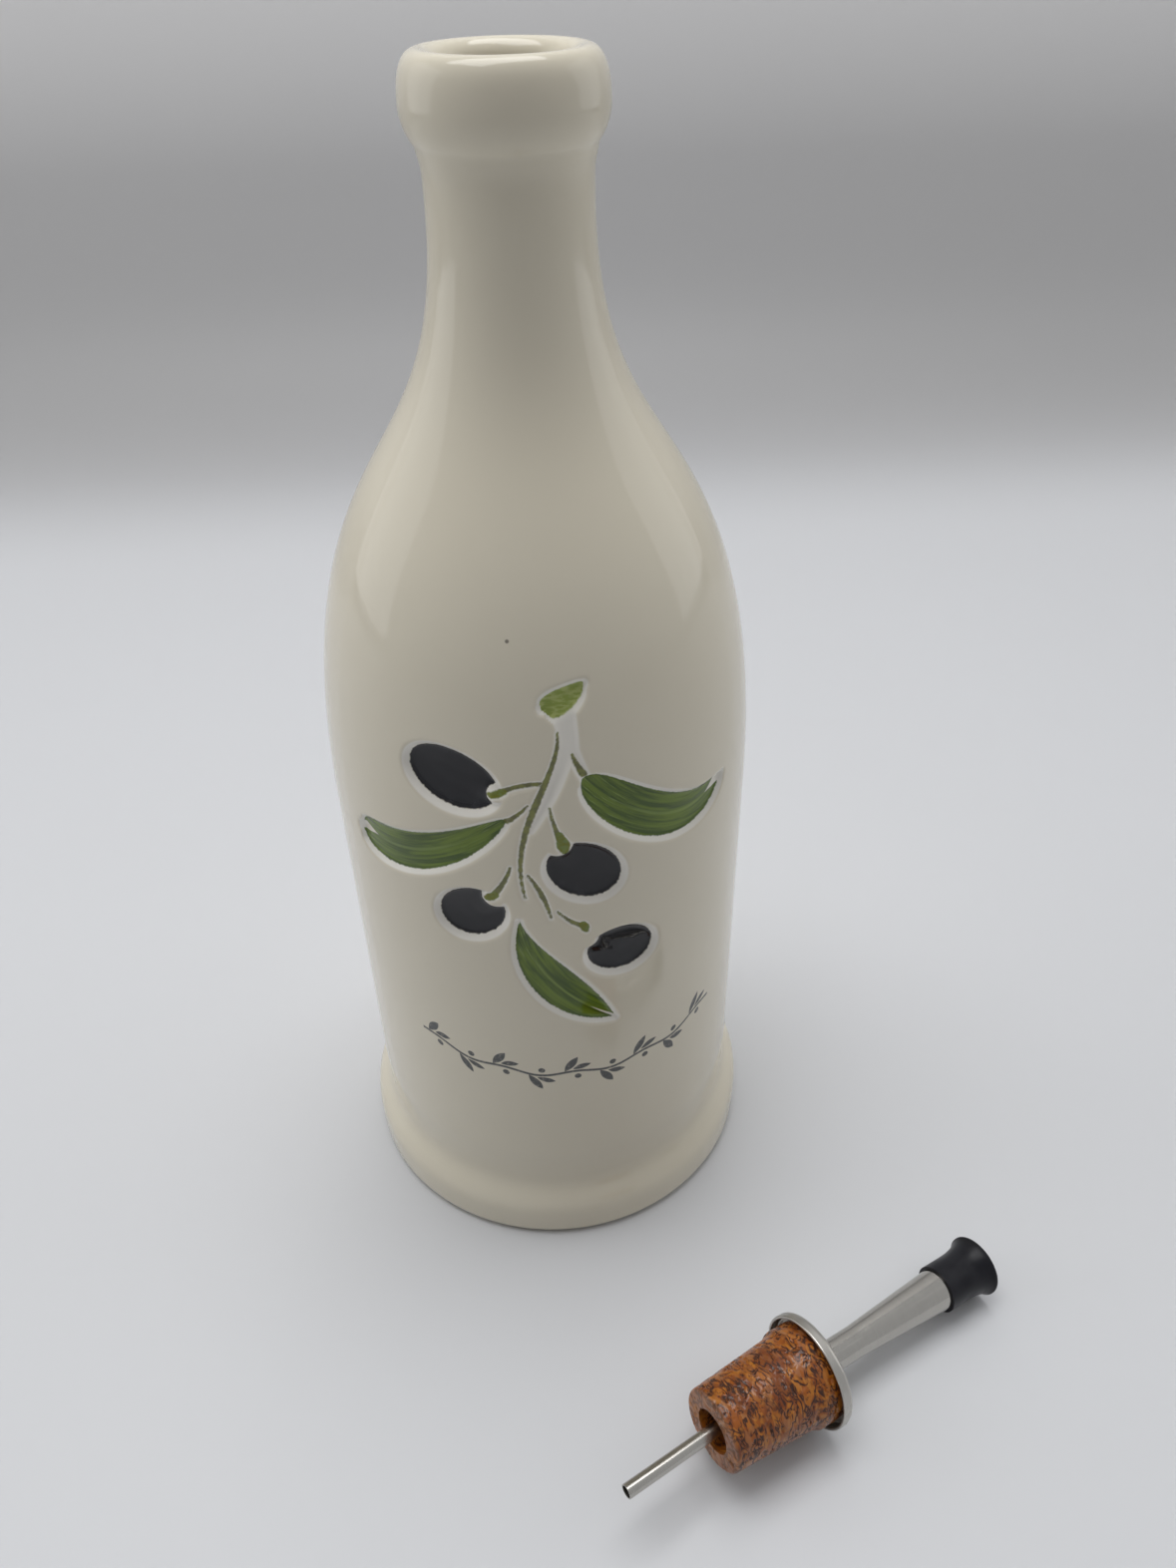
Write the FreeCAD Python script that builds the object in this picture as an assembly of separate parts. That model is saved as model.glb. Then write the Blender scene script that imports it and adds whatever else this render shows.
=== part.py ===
"""Glazed ceramic olive oil bottle with its cork pourer, taken off and lying beside it.

Units are millimetres, +Z is up. The origin is the centre of the bottle's flat base, the bottle's
decorated front faces -Y, and the pourer lies on the same surface in front of the bottle.

Every piece is a lathe-turned solid. An outline is drawn as (radius, height) pairs. The pourer's
pieces are drawn upright, with height 0 at the open rim of the steel collar and the spout upwards,
and the whole pourer is then laid down so that the collar and the cap's lip touch the surface.
"""
import FreeCAD, Part
import math
import os

# ---- bottle: heights above the base, and radii ----
BOTTLE_HEIGHT = 290.0
BODY_R = 53.0
BODY_TOP = 131.0            # where the straight body starts to draw in
NECK_R = 16.6
NECK_SPAN = 25.0            # from the end of the shoulder curve to the top of the lip
SHOULDER_LOW_PULL = 0.70    # fullness of the shoulder curve at the body, as a share of its height
SHOULDER_HIGH_PULL = 0.43   # the same at the neck

# ---- bottle foot ----
FOOT_FLARE = 4.2            # the foot stands this far outside the body
FOOT_BAND = 9.0             # height of the foot's upright band
FOOT_ROUND = 3.0            # rounding of the foot's lower edge
WAIST_DIP = 0.6             # the waist above the foot lies this far inside the body
WAIST_HEIGHT = 21.0
WAIST_BLEND = 16.0          # height over which the waist runs back out to the body

# ---- bottle lip ----
LIP_R = 19.9
LIP_CROWN = 9.0             # from the widest part of the lip up to its top
LIP_ROLL = 6.5              # from the widest part down to the crease
CREASE_R = 17.6
COLLAR_DROP = 6.0           # small swelling between the crease and the plain neck
MOUTH_ROUND = 3.6           # rounding of the mouth's inner edge

# ---- bottle inside ----
MOUTH_R = 12.0
WALL = 5.0
FLOOR = 6.0
FLOOR_ROUND = 8.0
SHOULDER_INSET = 2.0        # the inner shoulder lies this much lower, which keeps the wall even

# ---- pourer fits ----
FIT_GAP = 0.05              # radial clearance of a pushed-on or pushed-in fit
CORK_EASE = 0.5             # the cork's shoulder is this much slimmer than the mouth
HEAD_OVERLAP = 0.4          # the cork's head is this much wider than the mouth
COLLAR_OVERHANG = 2.0       # the collar reaches this far past the cork's head

# ---- cork ----
CORK_LENGTH = 29.2          # from the collar's rim down to the small end
CORK_TAPER = 1.35           # loss of radius from the shoulder to the small end
HEAD_HEIGHT = 4.0           # the head hangs this far below the collar's rim
HEAD_STEP = 1.2             # height of the slope from the shoulder to the head
CORK_EDGE = 0.8
WELL_R = 5.4                # widened mouth of the cork's bore
WELL_DEPTH = 10.0

# ---- steel collar, a shallow cup open towards the cork ----
COLLAR_DEPTH = 3.2
COLLAR_WALL = 0.8
COLLAR_EDGE = 1.4

# ---- steel spout ----
SPOUT_R = 3.9
SPOUT_WALL = 0.5
SHANK_LENGTH = 16.0         # part of the spout held inside the cork
THROAT_LENGTH = 17.0        # straight part above the collar's rim
FLARE_LENGTH = 29.6
SPOUT_MOUTH_R = 5.5
SPOUT_BEND = 20.0           # radius of the two soft bends of the spout's wall

# ---- air tube ----
AIR_R = 1.75
AIR_WALL = 0.3
AIR_TAIL = 25.3             # length that stands out of the cork
AIR_REACH = 12.0            # how far it runs past the collar's rim into the throat
AIR_GAP = 0.1               # clearance to the spout's inner wall at the inner end
AIR_TURN = 120.0            # side towards which the inner end leans, degrees about the spout

# ---- cap ----
CAP_COVER = 11.0            # length of spout inside the cap
CAP_WALL = 0.7
CAP_LENGTH = 15.0
CAP_BARREL = 6.4            # straight part before the trumpet lip
CAP_LIP_FLARE = 1.8
CAP_LIP = 0.6               # thickness of the lip
CAP_EDGE = 0.25
CAP_DISH = 1.3              # depth of the hollow in the cap's end face

# ---- where the pourer lies ----
POURER_STANDOFF = 66.3      # from the foot's edge to the centre of the collar's rim
POURER_BEARING = -62.1      # direction of that centre from the bottle's axis, degrees from +X
POURER_HEADING = 28.1       # direction in which the spout points, degrees from +X

# ---- sizes that follow from the ones above ----
FOOT_R = BODY_R + FOOT_FLARE
WAIST_R = BODY_R - WAIST_DIP
SHOULDER_TOP = BOTTLE_HEIGHT - NECK_SPAN
LIP_Z = BOTTLE_HEIGHT - LIP_CROWN
CREASE_Z = LIP_Z - LIP_ROLL
CORK_SHOULDER_R = MOUTH_R - CORK_EASE
CORK_END_R = CORK_SHOULDER_R - CORK_TAPER
HEAD_R = MOUTH_R + HEAD_OVERLAP
COLLAR_R = HEAD_R + COLLAR_OVERHANG
COLLAR_SEAT = COLLAR_DEPTH - COLLAR_WALL
CAP_START = THROAT_LENGTH + FLARE_LENGTH
SPOUT_END = CAP_START + CAP_COVER
CAP_END = CAP_START + CAP_LENGTH
CAP_BORE_R = SPOUT_MOUTH_R + FIT_GAP
CAP_R = CAP_BORE_R + CAP_WALL
CAP_LIP_R = CAP_R + CAP_LIP_FLARE


def at(point):
    """A (radius, height) pair as a point of the XZ plane."""
    return FreeCAD.Vector(point[0], 0.0, point[1])


def line(start, end):
    """A straight edge of an outline."""
    return Part.LineSegment(at(start), at(end)).toShape()


def curve(*poles):
    """A smooth edge that starts and ends at the outer poles and leans on the inner ones."""
    bezier = Part.BezierCurve()
    bezier.setPoles([at(pole) for pole in poles])
    return bezier.toShape()


def s_curve(start, end, low_pull, high_pull):
    """A smooth edge that leaves and arrives upright, each pull being a height."""
    leave = (start[0], start[1] + low_pull)
    arrive = (end[0], end[1] - high_pull)
    return curve(start, leave, arrive, end)


def blend(start, end):
    """An s_curve with half its height as each pull."""
    half = (end[1] - start[1]) / 2.0
    return s_curve(start, end, half, half)


def rounded_path(corners):
    """Straight edges through (radius, height, rounding) corners, each rounded by an arc.

    The first and last corners are the ends of the path and stay sharp.
    """
    points = [at(corner) for corner in corners]
    edges = []
    last = points[0]
    for index in range(1, len(corners) - 1):
        corner = points[index]
        back = (points[index - 1] - corner).normalize()
        ahead = (points[index + 1] - corner).normalize()
        half_angle = back.getAngle(ahead) / 2.0
        rounding = corners[index][2]
        if rounding == 0.0:
            edges.append(Part.LineSegment(last, corner).toShape())
            last = corner
            continue
        reach = rounding / math.tan(half_angle)
        first = corner + back * reach
        second = corner + ahead * reach
        centre_way = (back + ahead).normalize()
        middle = corner + centre_way * (rounding / math.sin(half_angle) - rounding)
        edges.append(Part.LineSegment(last, first).toShape())
        edges.append(Part.Arc(first, middle, second).toShape())
        last = second
    edges.append(Part.LineSegment(last, points[-1]).toShape())
    return edges


def turned(edges):
    """The solid of revolution about Z of a closed outline."""
    face = Part.Face(Part.Wire(edges))
    return face.revolve(FreeCAD.Vector(0, 0, 0), FreeCAD.Vector(0, 0, 1), 360)


def bottle():
    """The hollow ceramic bottle: flared foot, straight body, long shoulder, rolled lip."""
    foot_top = (FOOT_R, FOOT_BAND)
    waist = (WAIST_R, WAIST_HEIGHT)
    body_start = (BODY_R, WAIST_HEIGHT + WAIST_BLEND)
    body_end = (BODY_R, BODY_TOP)
    neck_start = (NECK_R, SHOULDER_TOP)
    neck_end = (NECK_R, CREASE_Z - COLLAR_DROP)
    crease = (CREASE_R, CREASE_Z)
    widest = (LIP_R, LIP_Z)
    crown = (MOUTH_R + MOUTH_ROUND, BOTTLE_HEIGHT)
    mouth = (MOUTH_R, BOTTLE_HEIGHT - MOUTH_ROUND)
    shoulder = SHOULDER_TOP - BODY_TOP

    foot = rounded_path([(0.0, 0.0, 0.0), (FOOT_R, 0.0, FOOT_ROUND), (*foot_top, 0.0)])
    side = [
        blend(foot_top, waist),
        blend(waist, body_start),
        line(body_start, body_end),
        s_curve(body_end, neck_start, SHOULDER_LOW_PULL * shoulder, SHOULDER_HIGH_PULL * shoulder),
        line(neck_start, neck_end),
    ]
    swelling = curve(
        neck_end,
        (NECK_R, neck_end[1] + COLLAR_DROP / 2.0),
        (CREASE_R - 0.4, CREASE_Z - COLLAR_DROP / 3.0),
        crease,
    )
    roll = curve(
        crease,
        (CREASE_R + 0.45 * (LIP_R - CREASE_R), CREASE_Z + 0.2 * LIP_ROLL),
        (LIP_R, LIP_Z - 0.43 * LIP_ROLL),
        widest,
    )
    top = curve(
        widest,
        (LIP_R, LIP_Z + 0.58 * LIP_CROWN),
        (LIP_R - 0.3 * (LIP_R - crown[0]), BOTTLE_HEIGHT),
        crown,
    )
    rim_turn = MOUTH_ROUND * math.sqrt(0.5)
    rim_middle = (crown[0] - rim_turn, mouth[1] + rim_turn)
    mouth_edge = Part.Arc(at(crown), at(rim_middle), at(mouth)).toShape()

    bore_end = (MOUTH_R, SHOULDER_TOP - SHOULDER_INSET)
    cavity_top = (BODY_R - WALL, BODY_TOP - SHOULDER_INSET)
    inner_shoulder = s_curve(
        cavity_top, bore_end, SHOULDER_LOW_PULL * shoulder, SHOULDER_HIGH_PULL * shoulder
    )
    inside = rounded_path([(*cavity_top, 0.0), (BODY_R - WALL, FLOOR, FLOOR_ROUND), (0.0, FLOOR, 0.0)])
    axis = line((0.0, FLOOR), (0.0, 0.0))
    outline = foot + side + [swelling, roll, top, mouth_edge, line(mouth, bore_end), inner_shoulder]
    return turned(outline + inside + [axis])


def cork():
    """The tapered cork with its wider head and a bore that is widened at the small end."""
    small_end = -CORK_LENGTH
    bore_r = SPOUT_R + FIT_GAP
    return turned(rounded_path([
        (WELL_R, small_end, 0.0),
        (CORK_END_R, small_end, CORK_EDGE),
        (CORK_SHOULDER_R, -HEAD_HEIGHT - HEAD_STEP, CORK_EDGE),
        (HEAD_R, -HEAD_HEIGHT, CORK_EDGE),
        (HEAD_R, COLLAR_SEAT, CORK_EDGE),
        (bore_r, COLLAR_SEAT, 0.0),
        (bore_r, small_end + WELL_DEPTH, 0.0),
        (WELL_R, small_end + WELL_DEPTH, 0.0),
        (WELL_R, small_end, 0.0),
    ]))


def collar():
    """The pressed steel cup between cork and spout."""
    hole_r = SPOUT_R + FIT_GAP
    rim_round = 0.45 * COLLAR_WALL
    return turned(rounded_path([
        (hole_r, COLLAR_SEAT, 0.0),
        (COLLAR_R - COLLAR_WALL, COLLAR_SEAT, COLLAR_EDGE - COLLAR_WALL),
        (COLLAR_R - COLLAR_WALL, 0.0, rim_round),
        (COLLAR_R, 0.0, rim_round),
        (COLLAR_R, COLLAR_DEPTH, COLLAR_EDGE),
        (hole_r, COLLAR_DEPTH, 0.0),
        (hole_r, COLLAR_SEAT, 0.0),
    ]))


def spout():
    """The thin steel spout: shank in the cork, straight throat, flare, then the capped end."""
    inner_r = SPOUT_R - SPOUT_WALL
    inner_mouth_r = SPOUT_MOUTH_R - SPOUT_WALL
    return turned(rounded_path([
        (inner_r, -SHANK_LENGTH, 0.0),
        (SPOUT_R, -SHANK_LENGTH, 0.0),
        (SPOUT_R, THROAT_LENGTH, SPOUT_BEND),
        (SPOUT_MOUTH_R, CAP_START, SPOUT_BEND),
        (SPOUT_MOUTH_R, SPOUT_END, 0.0),
        (inner_mouth_r, SPOUT_END, 0.0),
        (inner_mouth_r, CAP_START, SPOUT_BEND),
        (inner_r, THROAT_LENGTH, SPOUT_BEND),
        (inner_r, -SHANK_LENGTH, 0.0),
    ]))


def air_tube():
    """The thin open tube: centred where it leaves the cork, leaning on the throat's wall inside."""
    length = AIR_TAIL + CORK_LENGTH + AIR_REACH
    tube = turned(rounded_path([
        (AIR_R - AIR_WALL, 0.0, 0.0),
        (AIR_R, 0.0, 0.0),
        (AIR_R, length, 0.0),
        (AIR_R - AIR_WALL, length, 0.0),
        (AIR_R - AIR_WALL, 0.0, 0.0),
    ]))
    side_step = SPOUT_R - SPOUT_WALL - AIR_R - AIR_GAP
    lean = math.degrees(math.asin(side_step / (CORK_LENGTH + AIR_REACH)))
    tube.translate(FreeCAD.Vector(0, 0, -AIR_TAIL))
    tube.rotate(FreeCAD.Vector(0, 0, 0), FreeCAD.Vector(0, 1, 0), lean)
    tube.rotate(FreeCAD.Vector(0, 0, 0), FreeCAD.Vector(0, 0, 1), AIR_TURN)
    tube.translate(FreeCAD.Vector(0, 0, -CORK_LENGTH))
    return tube


def cap():
    """The black cap: a cup over the spout's end, with a trumpet lip and a dished end face."""
    seat = SPOUT_END + FIT_GAP
    flare_start = (CAP_R, CAP_START + CAP_BARREL)
    lip_foot = (CAP_LIP_R, CAP_END - CAP_LIP)
    flare = curve(
        flare_start,
        (CAP_R, flare_start[1] + 0.6 * (lip_foot[1] - flare_start[1])),
        (CAP_LIP_R - 0.5 * CAP_LIP_FLARE, lip_foot[1] - 0.1 * (lip_foot[1] - flare_start[1])),
        lip_foot,
    )
    end_centre = (0.0, CAP_END)
    lip = rounded_path([(*lip_foot, 0.0), (CAP_LIP_R, CAP_END, CAP_EDGE), (*end_centre, 0.0)])
    inside = rounded_path([
        (*end_centre, 0.0),
        (0.0, seat, 0.0),
        (CAP_BORE_R, seat, 0.0),
        (CAP_BORE_R, CAP_START, 0.0),
        (CAP_R, CAP_START, 0.0),
        (*flare_start, 0.0),
    ])
    dish_edge_r = CAP_LIP_R - CAP_LIP
    dish_r = (dish_edge_r ** 2 + CAP_DISH ** 2) / (2.0 * CAP_DISH)
    ball_centre = FreeCAD.Vector(0, 0, CAP_END - CAP_DISH + dish_r)
    ball = Part.makeSphere(dish_r, ball_centre, FreeCAD.Vector(1, 0, 0))
    return turned([flare] + lip + inside).cut(ball).Solids[0]


def lay_down(shape):
    """Turns an upright pourer piece so that the collar and the cap's lip rest on the surface.

    Each of the two touches with a rounded edge: a ring at some height, of some radius, with its
    own rounding. The slope makes the lowest points of both rings level.
    """
    collar_ring = (COLLAR_DEPTH - COLLAR_EDGE, COLLAR_R - COLLAR_EDGE, COLLAR_EDGE)
    lip_ring = (CAP_END - CAP_EDGE, CAP_LIP_R - CAP_EDGE, CAP_EDGE)
    run = lip_ring[0] - collar_ring[0]
    drop = collar_ring[1] - lip_ring[1]
    rounding = collar_ring[2] - lip_ring[2]
    slope = math.atan2(drop, run) + math.asin(rounding / math.hypot(run, drop))
    height = collar_ring[0] * math.sin(slope) + collar_ring[1] * math.cos(slope) + collar_ring[2]

    distance = FOOT_R + POURER_STANDOFF
    bearing = math.radians(POURER_BEARING)
    origin = FreeCAD.Vector(0, 0, 0)
    placed = shape.copy()
    placed.rotate(origin, FreeCAD.Vector(0, 1, 0), 90.0 + math.degrees(slope))
    placed.rotate(origin, FreeCAD.Vector(0, 0, 1), POURER_HEADING)
    placed.translate(FreeCAD.Vector(distance * math.cos(bearing), distance * math.sin(bearing), height))
    return placed


def main():
    """Writes one STEP file for each piece."""
    os.makedirs("parts", exist_ok=True)
    pieces = {
        "bottle": bottle(),
        "pourer_cork": lay_down(cork()),
        "pourer_collar": lay_down(collar()),
        "pourer_spout": lay_down(spout()),
        "pourer_air_tube": lay_down(air_tube()),
        "pourer_cap": lay_down(cap()),
    }
    for node, solid in pieces.items():
        solid.exportStep("parts/" + node + ".step")
        print(node, solid.ShapeType, "valid:", solid.isValid(), "volume:", round(solid.Volume), "mm3")


main()
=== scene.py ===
"""Glazed ceramic olive oil bottle and its cork pourer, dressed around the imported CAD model.

The bottle is rebuilt as a fine mesh that carries its sunk olive sprig, the cork gets its pressed
grain as relief, and the spout is turned anew. The collar, the air tube and the cap keep their
meshes and are dressed in place. Inside the classes, lengths are millimetres, except in the stage
and its lamps; they become metres when a mesh is made.

Places on the bottle's wall are written as (turn, height): the turn is a length measured around the
straight body from its front line, and the height is measured up from the base.
"""

import logging
import math
from dataclasses import dataclass
from enum import Enum

import bmesh
import bpy
import numpy as np
from mathutils import Euler, Matrix, Vector, noise

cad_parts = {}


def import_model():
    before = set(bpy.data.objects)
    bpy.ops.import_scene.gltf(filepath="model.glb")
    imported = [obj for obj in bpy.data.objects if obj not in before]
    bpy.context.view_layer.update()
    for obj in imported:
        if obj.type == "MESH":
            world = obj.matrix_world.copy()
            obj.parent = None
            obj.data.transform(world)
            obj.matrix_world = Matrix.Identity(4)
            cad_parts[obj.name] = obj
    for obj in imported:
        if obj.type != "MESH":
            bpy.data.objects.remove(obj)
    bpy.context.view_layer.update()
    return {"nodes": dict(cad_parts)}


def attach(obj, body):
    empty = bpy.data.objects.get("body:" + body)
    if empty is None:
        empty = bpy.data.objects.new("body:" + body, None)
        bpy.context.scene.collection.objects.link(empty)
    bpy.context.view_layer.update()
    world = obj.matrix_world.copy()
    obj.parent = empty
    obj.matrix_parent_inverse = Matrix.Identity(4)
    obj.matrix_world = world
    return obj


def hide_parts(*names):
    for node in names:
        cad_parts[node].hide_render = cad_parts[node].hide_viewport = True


LOG = logging.getLogger("oil_bottle")
MM = 0.001  # one millimetre in metres
MERGE = 1e-7  # metres within which two points become one
SHARP_ANGLE = 50.0  # degrees above which an edge stays sharp
BODY_R = 53.0  # radius of the straight body
FAR = 9.0  # the largest distance that the painted edges store
LEAF_STEP = 20.0  # what is added to the distance across for each further leaf
LINE_POINTS = 200  # points on a leaf's centre line
STROKE_POINTS = 90  # points on a brush stroke
BATCH = 4000  # places that are measured at once
GRAIN_STRETCH = (0.75, 0.75, 1.5)  # the cork's granules are flattened along its axis
FINE_RINGS = 2400.0  # polishing rings to a metre
Point = tuple[float, float]
Triple = tuple[float, float, float]
Colour = tuple[float, float, float]
Socket = bpy.types.NodeSocket


class Slot(Enum):
    """Three material slot names; nothing in this script uses them."""

    GLAZE = "glaze"
    CORK = "cork"
    STEEL = "steel"


# ---------------------------------------------------------------- shader helpers


class Graph:
    """Adds nodes to one node tree and links them."""

    def __init__(self, tree: bpy.types.NodeTree) -> None:
        """Starts from an emptied tree.

        Args:
            tree: The tree of a material, a world or a node group.
        """
        self.tree = tree
        tree.nodes.clear()

    def add(self, kind: str, feeds: dict | None = None, **settings: object) -> bpy.types.Node:
        """Adds one node.

        Args:
            kind: The node's type name without its ShaderNode prefix.
            feeds: Input name or number, and the value or output socket that feeds it.
            **settings: Properties of the node, set before its inputs.

        Returns:
            The new node.
        """
        node = self.tree.nodes.new("ShaderNode" + kind)
        for key, value in settings.items():
            setattr(node, key, value)
        for key, value in (feeds or {}).items():
            self.feed(node.inputs[key], value)
        return node

    def feed(self, socket: bpy.types.NodeSocket, value: object) -> None:
        """Links an output socket to an input, or writes a plain value into it.

        Args:
            socket: The input.
            value: The output socket or plain value.
        """
        if isinstance(value, bpy.types.NodeSocket):
            self.tree.links.new(value, socket)
        elif isinstance(value, tuple) and len(value) == 3 and socket.type == "RGBA":
            socket.default_value = (*value, 1.0)
        else:
            socket.default_value = value

    def math(self, operation: str, *values: object, clamp: bool = False) -> Socket:
        """The result of a Math node on up to three values or sockets."""
        node = self.add("Math", dict(enumerate(values)), operation=operation, use_clamp=clamp)
        return node.outputs[0]

    def ramp(self, value: object, low: float, high: float, start: object = 0.0,
             end: object = 1.0, smooth: bool = True) -> Socket:
        """Maps a value from low..high to start..end and holds it there.

        Args:
            value: What is mapped.
            low: The value that becomes start.
            high: The value that becomes end.
            start: The result at low.
            end: The result at high.
            smooth: Eases in and out if true.

        Returns:
            The mapped value.
        """
        kind = "SMOOTHSTEP" if smooth else "LINEAR"
        if low > high:
            low, high, start, end = high, low, end, start
        feeds = {"Value": value, "From Min": low, "From Max": high, "To Min": start, "To Max": end}
        return self.add("MapRange", feeds, interpolation_type=kind).outputs["Result"]

    def blend(self, share: object, under: object, over: object,
              mode: str = "MIX") -> Socket:
        """Lays one colour over another.

        Args:
            share: How much of the upper colour shows, 0 to 1.
            under: The lower colour.
            over: The upper colour.
            mode: The mix mode.

        Returns:
            The blended colour.
        """
        node = self.add("Mix", {0: share, 6: under, 7: over}, data_type="RGBA", blend_type=mode)
        return node.outputs[2]

    def noise(self, vector: object, scale: float, detail: float = 2.0, roughness: float = 0.5,
              distortion: float = 0.0) -> Socket:
        """A Noise texture's value, about 0.5 on average.

        Args:
            vector: The coordinates.
            scale: How many waves fit in one unit.
            detail: How many finer layers are added.
            roughness: How strong the finer layers are.
            distortion: How far the pattern is bent.

        Returns:
            The value.
        """
        feeds = {"Vector": vector, "Scale": scale, "Detail": detail, "Roughness": roughness,
                 "Distortion": distortion}
        return self.add("TexNoise", feeds).outputs[0]

    def stretched(self, vector: object, scale: Triple, place: Triple = (0.0, 0.0, 0.0),
                  turn: Triple = (0.0, 0.0, 0.0), kind: str = "POINT") -> Socket:
        """Coordinates moved, turned and stretched by a Mapping node.

        Args:
            vector: The coordinates.
            scale: The stretch along each axis.
            place: The move.
            turn: The turn about each axis, in radians.
            kind: The node's vector type.

        Returns:
            The new coordinates.
        """
        feeds = {"Vector": vector, "Location": place, "Rotation": turn, "Scale": scale}
        return self.add("Mapping", feeds, vector_type=kind).outputs[0]

    def attribute(self, name: str, output: str = "Fac") -> Socket:
        """A value that is stored on the mesh under a name."""
        return self.add("Attribute", attribute_name=name, attribute_type="GEOMETRY").outputs[output]

    def group(self, tree: bpy.types.NodeTree, feeds: dict) -> bpy.types.Node:
        """Places a shared node group with its own values.

        Args:
            tree: The group.
            feeds: Input name, and the value or output socket that feeds it.

        Returns:
            The group's node.
        """
        node = self.tree.nodes.new("ShaderNodeGroup")
        node.node_tree = tree
        for key, value in feeds.items():
            self.feed(node.inputs[key], value)
        return node


def new_group(name: str, inputs: dict[str, tuple[str, float]],
              outputs: dict[str, str]) -> tuple[Graph, bpy.types.Node, bpy.types.Node]:
    """Starts a shared node group.

    Args:
        name: The group's name.
        inputs: Input name, and its socket kind with its default.
        outputs: Output name and its socket kind.

    Returns:
        The graph, its input node and its output node.
    """
    tree = bpy.data.node_groups.new(name, "ShaderNodeTree")
    graph = Graph(tree)
    for key, (kind, default) in inputs.items():
        socket = tree.interface.new_socket(key, in_out="INPUT", socket_type="NodeSocket" + kind)
        if kind == "Float":
            socket.default_value = default
    for key, kind in outputs.items():
        tree.interface.new_socket(key, in_out="OUTPUT", socket_type="NodeSocket" + kind)
    return graph, tree.nodes.new("NodeGroupInput"), tree.nodes.new("NodeGroupOutput")


class Effects:
    """The shader node groups that more than one finish uses."""

    def __init__(self) -> None:
        """Builds each group once."""
        self.mottle = self._mottle()
        self.turning = self._turning()

    @staticmethod
    def _mottle() -> bpy.types.NodeTree:
        """Soft uneven patches with finer ones inside them, from 0 to 1.

        Returns:
            The group.
        """
        graph, given, result = new_group(
            "soft_mottle",
            {"Vector": ("Vector", 0.0), "Scale": ("Float", 20.0), "Contrast": ("Float", 3.0)},
            {"Value": "Float"})
        wide = graph.add("TexNoise", {"Vector": given.outputs["Vector"],
                                      "Scale": given.outputs["Scale"], "Detail": 3.0})
        centred = graph.math("SUBTRACT", wide.outputs[0], 0.5)
        sharpened = graph.math("MULTIPLY_ADD", centred, given.outputs["Contrast"], 0.5, clamp=True)
        graph.feed(result.inputs["Value"], sharpened)
        return graph.tree

    @staticmethod
    def _turning() -> bpy.types.NodeTree:
        """Fine rings that a polishing wheel leaves around a turned piece.

        The vector is in the piece's own frame, with Z along its axis.

        Returns:
            The group.
        """
        graph, given, result = new_group(
            "turning_rings",
            {"Vector": ("Vector", 0.0), "Rings": ("Float", FINE_RINGS), "Wander": ("Float", 40.0)},
            {"Value": "Float", "Scratch": "Float"})
        parts = graph.add("SeparateXYZ", {0: given.outputs["Vector"]})
        along = graph.math("MULTIPLY", parts.outputs["Z"], given.outputs["Rings"])
        side = graph.math("MULTIPLY", parts.outputs["X"], given.outputs["Wander"])
        front = graph.math("MULTIPLY", parts.outputs["Y"], given.outputs["Wander"])
        vector = graph.add("CombineXYZ", {"X": side, "Y": front, "Z": along}).outputs[0]
        rings = graph.noise(vector, 1.0, detail=3.0, roughness=0.6)
        coarse = graph.noise(graph.stretched(vector, (2.0, 2.0, 0.12)), 1.0, detail=2.0)
        graph.feed(result.inputs["Value"], rings)
        graph.feed(result.inputs["Scratch"], graph.ramp(coarse, 0.52, 0.72))
        return graph.tree


def new_material(name: str) -> Graph:
    """Starts a new material.

    Args:
        name: The material's name.

    Returns:
        The graph of its empty node tree.
    """
    material = bpy.data.materials.new(name)
    material.use_nodes = True
    return Graph(material.node_tree)


def close_material(graph: Graph, name: str, feeds: dict) -> bpy.types.Material:
    """Adds the Principled shader and the output.

    Args:
        graph: The material's graph.
        name: The material's name.
        feeds: The shader's inputs.

    Returns:
        The finished material.
    """
    shader = graph.add("BsdfPrincipled", feeds)
    graph.add("OutputMaterial", {"Surface": shader.outputs[0]})
    return bpy.data.materials[name]


def bump(graph: Graph, height: object, distance: float, strength: float = 1.0,
         below: object | None = None) -> Socket:
    """A Bump node's normal.

    Args:
        graph: The material's graph.
        height: The height, 0 to 1.
        distance: What a height of 1 stands for, in metres.
        strength: The bump's strength.
        below: The normal that this bump is laid on.

    Returns:
        The bent normal.
    """
    feeds = {"Height": height, "Distance": distance, "Strength": strength}
    if below is not None:
        feeds["Normal"] = below
    return graph.add("Bump", feeds).outputs[0]


# ---------------------------------------------------------------- curves and meshes


def bezier(poles: tuple[Point, ...], count: int) -> np.ndarray:
    """Points along a Bezier curve.

    Args:
        poles: The curve's poles.
        count: How many points, the ends among them.

    Returns:
        An array of shape (count, 2).
    """
    t = np.linspace(0.0, 1.0, count)[:, None]
    degree = len(poles) - 1
    total = np.zeros((count, 2))
    for index, pole in enumerate(poles):
        weight = math.comb(degree, index) * t ** index * (1 - t) ** (degree - index)
        total += weight * np.array(pole)
    return total


def spaced(points: np.ndarray, gap: float) -> np.ndarray:
    """The same line with points at even distances.

    Args:
        points: A dense line.
        gap: The distance wanted between neighbours.

    Returns:
        The points, both ends kept.
    """
    steps = np.hypot(*np.diff(points, axis=0).T)
    way = np.concatenate(([0.0], np.cumsum(steps)))
    stops = np.linspace(0.0, way[-1], max(2, round(way[-1] / gap) + 1))
    return np.stack([np.interp(stops, way, points[:, axis]) for axis in (0, 1)], axis=1)


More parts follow.
